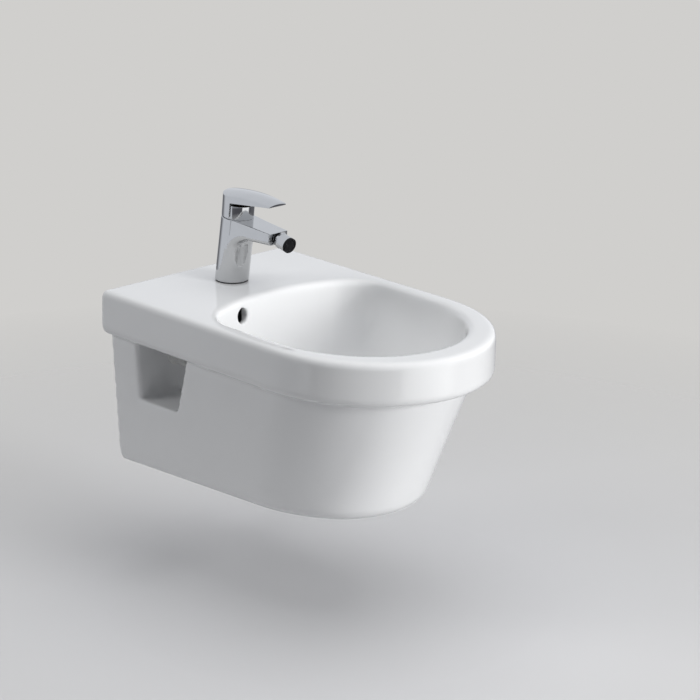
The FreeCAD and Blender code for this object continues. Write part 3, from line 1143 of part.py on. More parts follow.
def make_lever():
    """The lever with its hood, and what fixes it to the spindle."""
    body = in_head_frame(new_body("lever_handle"))
    radius = size.lever_radius
    half = size.lever_tip_width / 2
    corner = vector(half, -size.lever_reach, 0)
    touch = math.atan2(corner.y, corner.x) + math.acos(radius.value / corner.Length)
    meet = Vector(radius.value * math.cos(touch), radius.value * math.sin(touch), 0)
    outline_sketch = new_sketch(body, "lever_plan", "XY_Plane")
    back = arc(outline_sketch, Vector(0, 0, 0), meet, mirrored(meet))
    left = outline_sketch.addGeometry(Part.LineSegment(mirrored(meet), mirrored(corner)), False)
    tip = outline_sketch.addGeometry(Part.LineSegment(mirrored(corner), corner), False)
    right = outline_sketch.addGeometry(Part.LineSegment(corner, meet), False)
    outline_sketch.addConstraint(Sketcher.Constraint("Coincident", back, 3, -1, 1))
    drive(outline_sketch, "Radius", back, number=radius)
    outline_sketch.addConstraint(Sketcher.Constraint("Tangent", back, 2, left, 1))
    outline_sketch.addConstraint(Sketcher.Constraint("Tangent", right, 2, back, 1))
    outline_sketch.addConstraint(Sketcher.Constraint("Coincident", left, 2, tip, 1))
    outline_sketch.addConstraint(Sketcher.Constraint("Coincident", tip, 2, right, 1))
    pin_point(outline_sketch, tip, 1, -half, -size.lever_reach)
    pin_point(outline_sketch, tip, 2, half, -size.lever_reach)
    feature(body, "Pad", "lever_block", outline_sketch, Length=size.lever_top)

    front = -size.lever_skirt_front
    beyond = -size.lever_reach - size.lever_gap
    under = polygon(body, "lever_under_profile", "YZ_Plane", [
        (front, -size.overlap), (front, size.lever_under_root), (beyond, size.lever_under_tip),
        (beyond, -size.overlap)])
    feature(body, "Pocket", "lever_under", under, Length=size.lever_reach * 2, SideType="Symmetric")

    crown = size.lever_crown_radius
    arch = size.lever_arch_radius
    wide = radius * 1.2
    rise = arch - crown
    crown_edge = rise.value + math.sqrt(crown.value ** 2 - wide.value ** 2)
    high = arch + size.lever_top / 2
    turning = size.lever_top - arch
    crown_sketch = new_sketch(body, "crown_profile", "XZ_Plane", y=turning, z=size.lever_apex)
    over = arc(crown_sketch, vector(0, rise, 0), Vector(wide.value, crown_edge, 0),
               Vector(-wide.value, crown_edge, 0))
    left_up = crown_sketch.addGeometry(
        Part.LineSegment(Vector(-wide.value, crown_edge, 0), vector(-wide, high, 0)), False)
    roof = crown_sketch.addGeometry(Part.LineSegment(vector(-wide, high, 0), vector(wide, high, 0)), False)
    right_down = crown_sketch.addGeometry(
        Part.LineSegment(vector(wide, high, 0), Vector(wide.value, crown_edge, 0)), False)
    for one in ((over, 2, left_up, 1), (left_up, 2, roof, 1), (roof, 2, right_down, 1),
                (right_down, 2, over, 1)):
        crown_sketch.addConstraint(Sketcher.Constraint("Coincident", *one))
    crown_sketch.addConstraint(Sketcher.Constraint("Vertical", left_up))
    crown_sketch.addConstraint(Sketcher.Constraint("Vertical", right_down))
    pin_point(crown_sketch, over, 3, 0, rise)
    drive(crown_sketch, "Radius", over, number=crown)
    pin_point(crown_sketch, roof, 1, -wide, high)
    pin_point(crown_sketch, roof, 2, wide, high)
    crowned = feature(body, "Groove", "lever_crown", crown_sketch, ReferenceAxis=(crown_sketch, ["H_Axis"]),
                      Angle=size.lever_sweep, Midplane=True)

    def on_crown(edge):
        middle = edge.valueAt((edge.FirstParameter + edge.LastParameter) / 2)
        out = math.hypot(middle.y + size.lever_apex.value, middle.z - turning.value)
        return abs(math.hypot(middle.x, out - rise.value) - crown.value) < NEAR * 5

    rounded(body, "lever_edge", crowned, size.lever_edge_radius, on_crown)

    hood = size.sleeve_radius + size.lever_gap
    primitive(body, "SubtractiveCylinder", "hood_hollow", "XY_Plane", z=-size.lever_gap, Radius=hood,
              Height=size.lever_ceiling + size.lever_gap)
    reach = root(size.tap_radius * size.tap_radius + size.pivot_drop * size.pivot_drop)
    primitive(body, "SubtractiveSphere", "swing_room", "XY_Plane", z=-size.pivot_drop,
              Radius=reach + size.lever_swing_gap)
    hub_bottom = size.lever_ceiling / 2
    primitive(body, "AdditiveCylinder", "hub", "XY_Plane", z=hub_bottom, Radius=size.hub_radius,
              Height=size.lever_ceiling - hub_bottom + size.overlap)
    square = size.spindle_width / 2 + size.slide_gap
    socket = rectangle(body, "socket_plan", "XY_Plane", -square, -square, square, square, z=hub_bottom)
    feature(body, "Pocket", "spindle_socket", socket, Length=size.spindle_top - hub_bottom + size.slide_gap,
            Reversed=True)
    primitive(body, "SubtractiveCylinder", "screw_hole", "XZ_Plane", y=size.screw_height,
              z=-size.hub_radius * 1.2,
              Radius=size.screw_radius, Height=size.hub_radius * 1.2)
    primitive(body, "SubtractiveCylinder", "plug_hole", "XZ_Plane", y=size.screw_height, z=-radius * 1.2,
              Radius=size.plug_radius, Height=radius * 1.2 - size.hub_radius * 1.2)
    keep("lever_handle", body)

    screw_head = -size.spindle_width / 2 - size.screw_length
    screw = in_head_frame(new_body("handle_screw"))
    primitive(screw, "AdditiveCylinder", "screw_bar", "XZ_Plane", y=size.screw_height,
              z=screw_head, Radius=size.screw_radius, Height=size.screw_length)
    hexagon = polygon(screw, "screw_key_plan", "XZ_Plane", [
        (x, y + size.screw_height) for x, y in hexagon_points(size.screw_radius)], z=screw_head)
    feature(screw, "Pocket", "screw_key", hexagon, Length=size.screw_length / 2, Reversed=True)
    keep("handle_screw", screw)

    plug = in_head_frame(new_body("index_plug"))
    primitive(plug, "AdditiveCylinder", "plug_bar", "XZ_Plane", y=size.screw_height,
              z=-radius + size.slide_gap,
              Radius=size.plug_radius - size.slide_gap / 2, Height=size.plug_length)
    keep("index_plug", plug)


def make_nozzle():
    """The ball-jointed nozzle at the spout's end."""
    ball = size.ball_radius
    gap = size.turn_gap
    front = size.collar_front
    rear = front - size.collar_thickness
    slope = root(ball * ball - front * front)
    keep("socket_collar", in_nozzle_frame(spun("socket_collar", [
        (ball + gap * 1.5, rear), (size.socket_radius - size.slide_gap, rear),
        (size.socket_radius - size.slide_gap, front), (slope + gap * 2, front)])))
    seat_front = -ball * 0.4
    keep("ball_seat", in_nozzle_frame(spun("ball_seat", [
        (ball / 2, -size.socket_depth), (size.socket_radius - gap, -size.socket_depth),
        (size.socket_radius - gap, seat_front), (ball + gap, seat_front), (ball / 2, -ball - gap)])))

    body = in_nozzle_frame(new_body("nozzle_ball"))
    primitive(body, "AdditiveSphere", "joint_ball", "XY_Plane", Radius=ball)
    flange_bottom = size.barrel_start + size.barrel_wall
    primitive(body, "AdditiveCylinder", "joint_neck", "XY_Plane", Radius=size.nozzle_neck_radius,
              Height=flange_bottom + size.nozzle_flange)
    primitive(body, "AdditiveCylinder", "joint_flange", "XY_Plane", z=flange_bottom,
              Radius=size.barrel_bore_radius - size.slide_gap, Height=size.nozzle_flange)
    primitive(body, "SubtractiveCylinder", "joint_bore", "XY_Plane", z=-ball * 2,
              Radius=size.nozzle_bore_radius,
              Height=ball * 2 + flange_bottom + size.nozzle_flange * 2)
    keep("nozzle_ball", body)

    start = size.barrel_start
    outer = size.barrel_radius
    ridge = size.ridge_start
    ridge_end = ridge + size.ridge_width
    keep("nozzle_barrel", in_nozzle_frame(spun("nozzle_barrel", [
        (size.nozzle_neck_radius + size.slide_gap, start), (size.barrel_shoulder, start),
        (outer, start + size.barrel_taper), (outer, ridge), (outer + size.ridge_height, ridge),
        (outer + size.ridge_height, ridge_end), (outer, ridge_end), (outer, size.barrel_end),
        (size.barrel_bore_radius, size.barrel_end), (size.barrel_bore_radius, flange_bottom),
        (size.nozzle_neck_radius + size.slide_gap, flange_bottom)])))
    gasket_bottom = flange_bottom + size.nozzle_flange
    gasket_top = gasket_bottom + size.nozzle_gasket
    keep("nozzle_gasket", in_nozzle_frame(ring("nozzle_gasket", size.nozzle_bore_radius * 2,
                                               size.barrel_bore_radius - size.slide_gap, gasket_bottom,
                                               gasket_top)))
    insert = size.barrel_bore_radius - size.slide_gap
    face = size.barrel_end + size.insert_flange
    chamber = gasket_top + size.nozzle_flange
    keep("aerator_insert", in_nozzle_frame(spun("aerator_insert", [
        (0, chamber), (insert * 0.7, chamber), (insert * 0.7, gasket_top), (insert, gasket_top),
        (insert, size.barrel_end), (outer, size.barrel_end), (outer, face - size.insert_recess),
        (outer - size.insert_recess, face), (insert, face),
        (insert - size.insert_recess, face - size.insert_recess),
        (0, face - size.insert_recess)])))


def make_waste():
    """The push-open waste."""
    seat = -size.drain_seat_depth
    flange_bottom = seat + size.seal_thickness
    flange_top = flange_bottom + size.waste_flange
    inner = size.waste_radius - size.waste_wall
    bottom = -size.waste_length
    body = in_waste_frame(spun("waste_body", [
        (inner, bottom), (size.waste_radius, bottom), (size.waste_radius, flange_bottom),
        (size.waste_flange_radius, flange_bottom),
        (size.waste_flange_radius, flange_top - size.waste_flange / 2),
        (size.waste_flange_radius - size.waste_flange / 2, flange_top),
        (inner + size.waste_flange, flange_top),
        (inner, flange_bottom)]))
    bar_half = size.waste_bar / 2
    bar = rectangle(body, "bar_plan_waste", "XY_Plane", -inner - size.overlap, -bar_half,
                    inner + size.overlap, bar_half,
                    z=-size.waste_bar_drop)
    feature(body, "Pad", "cross_bar", bar, Length=size.waste_bar)
    slot_level = -size.drain_neck_length * 0.66
    primitive(body, "SubtractiveCylinder", "overflow_slots", "XZ_Plane", y=slot_level,
              z=-size.waste_radius * 2,
              Radius=size.waste_bar, Height=size.waste_radius * 4)
    keep("waste_body", body)
    keep("waste_seal", in_waste_frame(ring("waste_seal", size.waste_radius + size.turn_gap,
                                           size.waste_flange_radius, seat, flange_bottom)))
    neck = -size.drain_neck_length
    keep("waste_lower_seal", in_waste_frame(spun("waste_lower_seal", [
        (size.waste_radius + size.turn_gap, neck - size.lower_seal),
        (size.drain_neck_radius - size.lower_seal, neck - size.lower_seal),
        (size.drain_neck_radius - size.overlap * 2, neck),
        (size.waste_radius + size.turn_gap, neck)])))
    nut = in_waste_frame(new_body("waste_nut"))
    nut_bottom = neck - size.lower_seal - size.waste_nut_height
    hexagon = polygon(nut, "waste_nut_plan", "XY_Plane", hexagon_points(size.waste_nut_width), z=nut_bottom)
    feature(nut, "Pad", "waste_nut_hexagon", hexagon, Length=size.waste_nut_height)
    primitive(nut, "SubtractiveCylinder", "waste_nut_thread", "XY_Plane", z=nut_bottom - 1,
              Radius=size.waste_radius + size.slide_gap, Height=size.waste_nut_height + 2)
    keep("waste_nut", nut)
    tail_top = bottom + size.tail_insert
    tail_end = bottom - size.tail_length
    tail_inner = size.tail_radius - size.tail_wall
    keep("waste_tail", in_waste_frame(spun("waste_tail", [
        (tail_inner, tail_end), (size.tail_radius, tail_end), (size.tail_radius, bottom),
        (inner - size.slide_gap, bottom), (inner - size.slide_gap, tail_top), (tail_inner, tail_top)])))
    click_bottom = size.waste_bar - size.waste_bar_drop
    keep("click_cartridge", in_waste_frame(spun("click_cartridge", [
        (0, click_bottom), (size.click_radius, click_bottom),
        (size.click_radius, click_bottom + size.click_height),
        (size.stem_radius + size.turn_gap, click_bottom + size.click_height),
        (size.stem_radius + size.turn_gap, click_bottom + size.waste_bar),
        (0, click_bottom + size.waste_bar)])))
    seal_bottom = flange_top + size.plug_stroke - size.plug_seal_height
    seal_top = seal_bottom + size.plug_seal_height
    cap_top = seal_top + size.plug_cap_height
    boss = size.plug_seal_radius * 0.55
    keep("plug_stem", in_waste_frame(spun("plug_stem", [
        (0, seal_bottom - size.stem_length), (size.stem_radius, seal_bottom - size.stem_length),
        (size.stem_radius, seal_bottom), (0, seal_bottom)])))
    keep("plug_seal", in_waste_frame(ring("plug_seal", boss + size.slide_gap, size.plug_seal_radius,
                                          seal_bottom,
                                          seal_top)))
    keep("plug_cap", in_waste_frame(spun("plug_cap", [
        (0, seal_bottom), (boss, seal_bottom), (boss, seal_top), (size.plug_cap_radius * 0.94, seal_top),
        (size.plug_cap_radius, seal_top + size.plug_cap_height * 0.3),
        (size.plug_cap_radius, seal_top + size.plug_cap_height * 0.5),
        (size.plug_cap_radius * 0.86, seal_top + size.plug_cap_height * 0.82),
        (size.plug_cap_radius * 0.5, seal_top + size.plug_cap_height * 0.96), (0, cap_top)])))


def make_fixings():
    """What holds the china to the two studs of the wall frame."""
    face = size.recess_back
    flange_top = face + size.fixing_flange
    washer_top = flange_top + size.fixing_washer
    nut_top = washer_top + size.fixing_nut_height
    cap_top = flange_top + size.fixing_cap_length
    sleeve = in_fixing_frame(spun("fixing_sleeve", [
        (size.fixing_bore_radius, 0), (size.fixing_sleeve_radius, 0), (size.fixing_sleeve_radius, face),
        (size.fixing_flange_radius, face), (size.fixing_flange_radius, flange_top),
        (size.fixing_bore_radius, flange_top)]))
    keep("fixing_sleeves", pair("fixing_sleeves", sleeve))
    washer = in_fixing_frame(ring("fixing_washer", size.fixing_bore_radius, size.fixing_washer_radius,
                                  flange_top,
                                  washer_top))
    keep("fixing_washers", pair("fixing_washers", washer))
    nut = in_fixing_frame(new_body("fixing_nut"))
    hexagon = polygon(nut, "fixing_nut_plan", "XY_Plane", hexagon_points(size.fixing_nut_width),
                      z=washer_top)
    feature(nut, "Pad", "fixing_nut_hexagon", hexagon, Length=size.fixing_nut_height)
    primitive(nut, "SubtractiveCylinder", "fixing_nut_thread", "XY_Plane", z=washer_top,
              Radius=size.fixing_bore_radius, Height=size.fixing_nut_height)
    keep("fixing_nuts", pair("fixing_nuts", nut))
    wall = size.fixing_cap_wall
    outer = size.fixing_cap_radius
    cap = in_fixing_frame(spun("fixing_cap", [
        (outer - wall, flange_top), (outer, flange_top), (outer, cap_top - wall * 2),
        (outer - wall * 2, cap_top),
        (0, cap_top), (0, cap_top - wall), (outer - wall * 2.5, cap_top - wall),
        (outer - wall, cap_top - wall * 2.5)]))
    keep("fixing_caps", pair("fixing_caps", cap))


make_skirt()
make_rim()
make_tap_body()
make_tap_clamp()
make_cartridge()
make_lever()
make_nozzle()
make_waste()
make_fixings()


def finish():
    """Check every object, then write one file per node."""
    doc.recompute()
    faults = [thing.Name for thing in doc.Objects if "Invalid" in thing.State or "Error" in thing.State]
    if faults:
        raise RuntimeError(f"objects with faults: {faults}")
    os.makedirs("parts", exist_ok=True)
    for name, thing in nodes.items():
        if thing.Shape.isNull() or not thing.Shape.isValid():
            raise RuntimeError(f"{name} has no valid shape")
        print(name, round(thing.Shape.Volume / 1000, 2), "cm3", len(thing.Shape.Solids), "solids")
        thing.Shape.exportStep(f"parts/{name}.step")


finish()
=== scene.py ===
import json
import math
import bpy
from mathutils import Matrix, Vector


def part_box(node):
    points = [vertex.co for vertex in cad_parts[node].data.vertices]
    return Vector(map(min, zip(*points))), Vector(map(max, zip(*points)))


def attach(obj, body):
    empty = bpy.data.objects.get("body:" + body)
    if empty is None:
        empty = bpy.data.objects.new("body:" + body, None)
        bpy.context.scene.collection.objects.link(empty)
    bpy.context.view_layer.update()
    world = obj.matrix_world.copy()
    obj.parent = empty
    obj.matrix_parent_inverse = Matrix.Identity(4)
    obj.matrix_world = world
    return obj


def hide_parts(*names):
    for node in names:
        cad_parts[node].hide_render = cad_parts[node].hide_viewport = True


bl_info = {
    "name": "Wall-hung Bidet",
    "version": (1, 0, 0),
    "blender": (4, 5, 0),
    "location": "3D View > Sidebar > Bidet",
    "description": "Dresses the solid model of a wall-hung bidet in glaze, chrome and turned detail",
    "category": "Object",
}

import bpy
from mathutils import Matrix, Vector

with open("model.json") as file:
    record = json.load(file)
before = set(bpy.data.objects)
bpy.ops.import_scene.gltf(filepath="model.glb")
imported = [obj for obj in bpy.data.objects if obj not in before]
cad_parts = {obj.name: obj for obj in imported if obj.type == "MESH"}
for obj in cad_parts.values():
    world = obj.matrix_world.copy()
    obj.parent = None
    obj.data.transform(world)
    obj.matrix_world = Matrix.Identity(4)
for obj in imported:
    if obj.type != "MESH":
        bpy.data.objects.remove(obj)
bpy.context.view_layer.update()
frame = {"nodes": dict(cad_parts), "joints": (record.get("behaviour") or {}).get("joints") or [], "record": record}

SLOTS = {part["node"]: part["material_slot"] for part in frame["record"]["subparts"]}
MM = 0.001
RIM_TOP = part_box("china_rim")[1][2]

# The middle, axis and front of the tap's head, read from the frame's joints.
JOINTS = {joint["name"]: joint for joint in frame["joints"]}
HEAD_CENTRE = Vector(JOINTS["lever_turn"]["pos_m"])
HEAD_AXIS = Vector(JOINTS["lever_turn"]["axis"]).normalized()
HEAD_FRONT = HEAD_AXIS.cross(Vector((-1.0, 0.0, 0.0)))

# The seam of spout and column, seen from the middle of the tap's head: at the side and at the front.
SEAM_SIDE_BELOW = 58 * MM
SEAM_FRONT_BELOW = 33 * MM
SEAM_FORWARD = 23 * MM
SEAM_START = 8 * MM
SEAM_GAIN = 1.5
COLUMN_SKIN = 19 * MM

# The spout's top over the nozzle's socket, where the wall is thinner than the mesh's grain.
ROOF_FORWARD = 76.5 * MM
ROOF_BELOW = 0.02 * MM
ROOF_SIZE = (10 * MM, 8 * MM, 1.2 * MM)

# The overflow's upright duct, seen from above, the level that it stays under, and the near-black painted shade
# that fills its inside.
DUCT_SPOT = (-60 * MM, -152 * MM, 0.0)
DUCT_RADIUS = 12 * MM
DUCT_TOP = RIM_TOP - 4 * MM
DUCT_EDGE = 1 * MM
DUCT_PAINTED_SHADE = (0.020, 0.020, 0.021)

# How meshes are merged, smoothed and bevelled.
MERGE_REACH = 0.01 * MM
SMOOTH_FACTOR = 0.5
CHINA_ROUNDS = 16
TAP_ROUNDS = 5
FLAT_ANGLE = math.radians(0.4)
EDGE_WIDTH = 0.4 * MM
EDGE_SEGMENTS = 3
EDGE_ANGLE = math.radians(40)
SHADE_ANGLE = math.radians(35)

# The floor, and where it fades to the backdrop.
FLOOR_SIZE = 30.0
FLOOR_MIDDLE = (0.0, -0.3, 0.0)
FADE_START = 0.35
FADE_END = 1.5

# Lamps by name, spot, size and power, and the spot that they face.
LAMP_TARGET = Vector((0.0, -0.28, 0.0))
LAMPS = (
    ("front_light", (0.9, -3.76, 0.9), 1.4, 116.0),
    ("left_light", (-2.65, 1.8, 1.55), 1.4, 31.0),
    ("top_light", (0.2, -0.6, 3.0), 3.0, 57.0),
)

# The camera, fitted to the photograph's frame.
CAMERA_SPOT = (-2.7061, -3.0214, 1.3012)
CAMERA_RIGHT = Vector((0.70961171, -0.70418944, 0.02384243))
CAMERA_UP = Vector((0.20292772, 0.2366609, 0.95016417))
CAMERA_FORWARD = Vector((0.67473815, 0.66940933, -0.31083691))
FOCAL_PIXELS = 2772.5
IMAGE_SIDE = 700
SENSOR_WIDTH = 36.0
FAR_CLIP = 60.0

# The heights between which the mirrored room turns into its ceiling.
CEILING_LOW = -0.16
CEILING_HIGH = 0.06


class Socket:
    """A shader socket that takes part in sums and products."""

    def __init__(self, finish, link):
        self.finish = finish
        self.link = link

    def worked(self, operation, first, second):
        return self.finish.node("ShaderNodeMath", {"operation": operation}, {0: first, 1: second})

    def __add__(self, other):
        return self.worked("ADD", self, other)

    def __radd__(self, other):
        return self.worked("ADD", other, self)

    def __sub__(self, other):
        return self.worked("SUBTRACT", self, other)

    def __rsub__(self, other):
        return self.worked("SUBTRACT", other, self)

    def __mul__(self, other):
        return self.worked("MULTIPLY", self, other)

    def __rmul__(self, other):
        return self.worked("MULTIPLY", other, self)


class Finish:
    """The nodes of one material."""

    def __init__(self, name):
        self.material = bpy.data.materials.new(name)
        self.material.use_nodes = True
        self.tree = self.material.node_tree
        self.tree.nodes.clear()

    def node(self, kind, settings=None, inputs=None, output=0):
        """Add a node, set it up, feed its sockets and give back one output."""
        made = self.tree.nodes.new(kind)
        for key, value in (settings or {}).items():
            if key == "stops":
                self.set_stops(made.color_ramp, value)
            else:
                setattr(made, key, value)
        for key, value in (inputs or {}).items():
            if isinstance(value, Socket):
                self.tree.links.new(value.link, made.inputs[key])
            else:
                made.inputs[key].default_value = value
        return Socket(self, made.outputs[output])

    @staticmethod
    def set_stops(ramp, stops):
        """Give a ramp its stops, each a position and a grey or colour."""
        while len(ramp.elements) < len(stops):
            ramp.elements.new(0.5)
        for element, (position, colour) in zip(ramp.elements, stops):
            element.position = position
            element.color = colour if len(colour) == 4 else (*colour, 1.0)

    def place(self, stretch=(1, 1, 1)):
        """Object coordinates, stretched."""
        coordinates = self.node("ShaderNodeTexCoord", output="Object")
        return self.node("ShaderNodeMapping", {}, {"Vector": coordinates, "Scale": stretch})

    def noise(self, scale, detail=2.0, stretch=(1, 1, 1)):
        """Soft noise over the object, from 0 to 1."""
        return self.node("ShaderNodeTexNoise", {"noise_dimensions": "3D"},
                         {"Vector": self.place(stretch), "Scale": scale, "Detail": detail,
                          "Roughness": 0.5})

    def mask(self, value, low, high):
        """0 below low, 1 above high."""
        return self.node("ShaderNodeMapRange", {"clamp": True},
                         {"Value": value, "From Min": low, "From Max": high, "To Min": 0.0, "To Max": 1.0})

    def tint(self, factor, first, second):
        """Colour between two, by a factor."""
        ends = [end if isinstance(end, Socket) else (*end, 1.0) for end in (first, second)]
        return self.node("ShaderNodeMix", {"data_type": "RGBA", "blend_type": "MIX"},
                         {"Factor": factor, 6: ends[0], 7: ends[1]}, output=2)

    def bump(self, height, strength, distance):
        """A normal from a height."""
        return self.node("ShaderNodeBump", {},
                         {"Strength": strength, "Distance": distance, "Height": height})

    def done(self, **sockets):
        """The surface shader, and the finished material."""
        named = {key.replace("_", " ").title().replace("Ior", "IOR"): value
                 for key, value in sockets.items()}
        surface = self.node("ShaderNodeBsdfPrincipled", {}, named)
        self.node_output(surface)
        return self.material

    def node_output(self, surface):
        """Feed the material's output."""
        made = self.tree.nodes.new("ShaderNodeOutputMaterial")
        self.tree.links.new(surface.link, made.inputs["Surface"])


def shade(colour, factor):
    """A colour made lighter or darker."""
    return tuple(min(1.0, channel * factor) for channel in colour)


def glaze_finish(settings):
    """White glaze over china: deep gloss, a faint ripple, a faint mottle and painted shade that darkens the inside
    of the overflow duct.
    """
    finish = Finish("china_glaze")
    mottle = finish.noise(9.0, 3.0)
    ripple = finish.noise(38.0, 1.0)
    peel = finish.noise(620.0, 1.0)
    white = finish.tint(finish.mask(mottle, 0.35, 0.65), shade(settings.glaze, 0.985), settings.glaze)
    from_duct = finish.node("ShaderNodeVectorMath", {"operation": "DISTANCE"},
                            {0: finish.place((1, 1, 0)), 1: DUCT_SPOT}, output="Value")
    level = finish.node("ShaderNodeSeparateXYZ", {}, {0: finish.place()}, output="Z")
    inside = 1.0 - finish.mask(from_duct, DUCT_RADIUS, DUCT_RADIUS + DUCT_EDGE)
    below = 1.0 - finish.mask(level, DUCT_TOP, DUCT_TOP + DUCT_EDGE)
    duct_painted_shade = inside * below
    # Painted shade: the inside of the overflow duct is coloured near black, and made rougher, where only shade
    # falls.
    colour = finish.tint(duct_painted_shade, white, DUCT_PAINTED_SHADE)
    rough = 0.07 + finish.mask(peel, 0.3, 0.7) * 0.03 + finish.mask(mottle, 0.3, 0.7) * 0.02 + duct_painted_shade * 0.6
    height = ripple * 0.8 + peel * 0.05
    return finish.done(base_color=colour, roughness=rough, normal=finish.bump(height, 0.12, 0.0006),
                       coat_weight=0.35, coat_roughness=0.03, ior=1.52)


def chrome_finish(settings):
    """Chrome plate over brass: bright, with hairlines and a breath of haze."""
    finish = Finish("chrome_plate")
    haze = finish.noise(60.0, 3.0)
    hairs = finish.noise(900.0, 2.0, (1.0, 0.06, 1.0))
    colour = finish.tint(finish.mask(haze, 0.3, 0.7), shade(settings.chrome, 0.96), settings.chrome)
    rough = 0.035 + finish.mask(haze, 0.35, 0.75) * 0.03 + finish.mask(hairs, 0.55, 0.75) * 0.03
    return finish.done(base_color=colour, metallic=1.0, roughness=rough,
                       normal=finish.bump(finish.noise(45.0, 1.0), 0.05, 0.0004))


def brass_finish():
    """Turned brass with fine tool rings and a dull film."""
    finish = Finish("plain_brass")
    film = finish.noise(140.0, 4.0)
    rings = finish.node("ShaderNodeTexWave", {"wave_type": "BANDS", "bands_direction": "Z"},
                        {"Vector": finish.place(), "Scale": 900.0, "Distortion": 0.4, "Detail": 1.0},
                        output="Fac")
    colour = finish.tint(finish.mask(film, 0.35, 0.7), (0.62, 0.46, 0.20), (0.76, 0.60, 0.32))
    rough = 0.22 + finish.mask(film, 0.3, 0.7) * 0.16
    return finish.done(base_color=colour, metallic=1.0, roughness=rough,
                       normal=finish.bump(rings, 0.15, 0.0001))


def zinc_finish():
    """Zinc-plated steel: grey, spangled and a little dull."""
    finish = Finish("zinc_steel")
    spangle = finish.node("ShaderNodeTexVoronoi", {"feature": "F1"},
                          {"Vector": finish.place(), "Scale": 420.0}, output="Distance")
    film = finish.noise(160.0, 4.0)
    colour = finish.tint(finish.mask(film, 0.3, 0.7), (0.50, 0.51, 0.53), (0.64, 0.65, 0.66))
    rough = 0.26 + finish.mask(spangle, 0.1, 0.6) * 0.14
    return finish.done(base_color=colour, metallic=1.0, roughness=rough,
                       normal=finish.bump(film, 0.1, 0.0001))


def rubber_finish():
    """Black rubber with a fine grain and a chalky bloom."""
    finish = Finish("black_rubber")
    bloom = finish.noise(120.0, 4.0)
    grain = finish.noise(2600.0, 2.0)
    colour = finish.tint(finish.mask(bloom, 0.45, 0.75), (0.022, 0.022, 0.023), (0.055, 0.055, 0.056))
    rough = 0.62 + finish.mask(grain, 0.3, 0.7) * 0.18
    return finish.done(base_color=colour, roughness=rough, normal=finish.bump(grain, 0.3, 0.0001))


def plastic_finish(name, dark, light, rough_low, shine=0.35):
    """Moulded plastic with a spark-eroded grain."""
    finish = Finish(name)
    drift = finish.noise(70.0, 2.0)
    grain = finish.noise(1900.0, 2.0)
    colour = finish.tint(finish.mask(drift, 0.3, 0.7), dark, light)
    rough = rough_low + finish.mask(grain, 0.3, 0.7) * 0.14
    return finish.done(base_color=colour, roughness=rough, normal=finish.bump(grain, 0.12, 0.0001),
                       specular_ior_level=shine)


def disc_finish():
    """Lapped ceramic discs: off-white, very fine grain."""
    finish = Finish("disc_ceramic")
    grain = finish.noise(1500.0, 3.0)
    colour = finish.tint(finish.mask(grain, 0.35, 0.7), (0.78, 0.76, 0.71), (0.87, 0.86, 0.82))
    return finish.done(base_color=colour, roughness=0.18 + grain * 0.1)


def floor_finish(settings):
    """A pale floor that fades to the backdrop's colour."""
    finish = Finish("pale_floor")
    drift = finish.noise(1.4, 3.0)
    colour = finish.tint(finish.mask(drift, 0.3, 0.7), shade(settings.floor, 0.985), settings.floor)
    middle = finish.node("ShaderNodeVectorMath", {"operation": "DISTANCE"},
                         {0: finish.place(), 1: FLOOR_MIDDLE}, output="Value")
    return finish.done(base_color=colour, roughness=0.55 + drift * 0.1,
                       alpha=1.0 - finish.mask(middle, FADE_START, FADE_END))


class Surround(Finish):
    """The nodes of the world."""

    def __init__(self, name):
        self.world = bpy.data.worlds.new(name)
        self.world.use_nodes = True
        self.tree = self.world.node_tree
        self.tree.nodes.clear()

    def light(self, colour, strength):
        """One background light."""
        return self.node("ShaderNodeBackground", {}, {"Color": colour, "Strength": strength})

    def instead(self, kind, usual, other):
        """One light for the rays of a kind, another for the rest."""
        rays = self.node("ShaderNodeLightPath", output=kind)
        return self.node("ShaderNodeMixShader", {}, {0: rays, 1: usual, 2: other})

    def node_output(self, surface):
        """Feed the world's output."""
        made = self.tree.nodes.new("ShaderNodeOutputWorld")
        self.tree.links.new(surface.link, made.inputs["Surface"])


def surround(settings):
    """Even dim light, a banded room under a pale ceiling for reflections, and a pale backdrop."""
    room = Surround("pale_room")
    around = room.node("ShaderNodeTexCoord", output="Generated")
    height = room.node("ShaderNodeSeparateXYZ", {}, {0: around}, output="Z")
    turn = room.node("ShaderNodeTexGradient", {"gradient_type": "RADIAL"}, {"Vector": around}, output="Fac")
    bands = room.node("ShaderNodeValToRGB", {"stops": ROOM_BANDS}, {"Fac": turn})
    even = room.light((*settings.ceiling, 1.0), settings.ambient)
    overhead = room.mask(height, CEILING_LOW, CEILING_HIGH)
    mirrored = room.light(room.tint(overhead, bands, settings.ceiling), settings.mirrored)
    seen = room.light((*settings.backdrop, 1.0), 1.0)
    room.node_output(room.instead("Is Camera Ray", room.instead("Is Glossy Ray", even, mirrored), seen))
    return room.world


# Brightness of the room around the bidet, by direction from 0 to 1.
ROOM_BANDS = [
    (0.00, (0.10, 0.10, 0.11)),
    (0.06, (0.08, 0.08, 0.09)),
    (0.19, (0.08, 0.08, 0.09)),
    (0.205, (0.98, 0.99, 1.00)),
    (0.33, (0.98, 0.99, 1.00)),
    (0.36, (0.07, 0.07, 0.08)),
    (0.42, (0.12, 0.12, 0.13)),
    (0.52, (0.12, 0.12, 0.13)),
    (0.66, (0.32, 0.33, 0.35)),
    (0.74, (0.10, 0.10, 0.11)),
    (0.82, (0.58, 0.60, 0.64)),
    (0.975, (0.58, 0.60, 0.64)),
    (0.99, (0.10, 0.10, 0.11)),
    (1.00, (0.10, 0.10, 0.11)),
]

FINISHES = {}


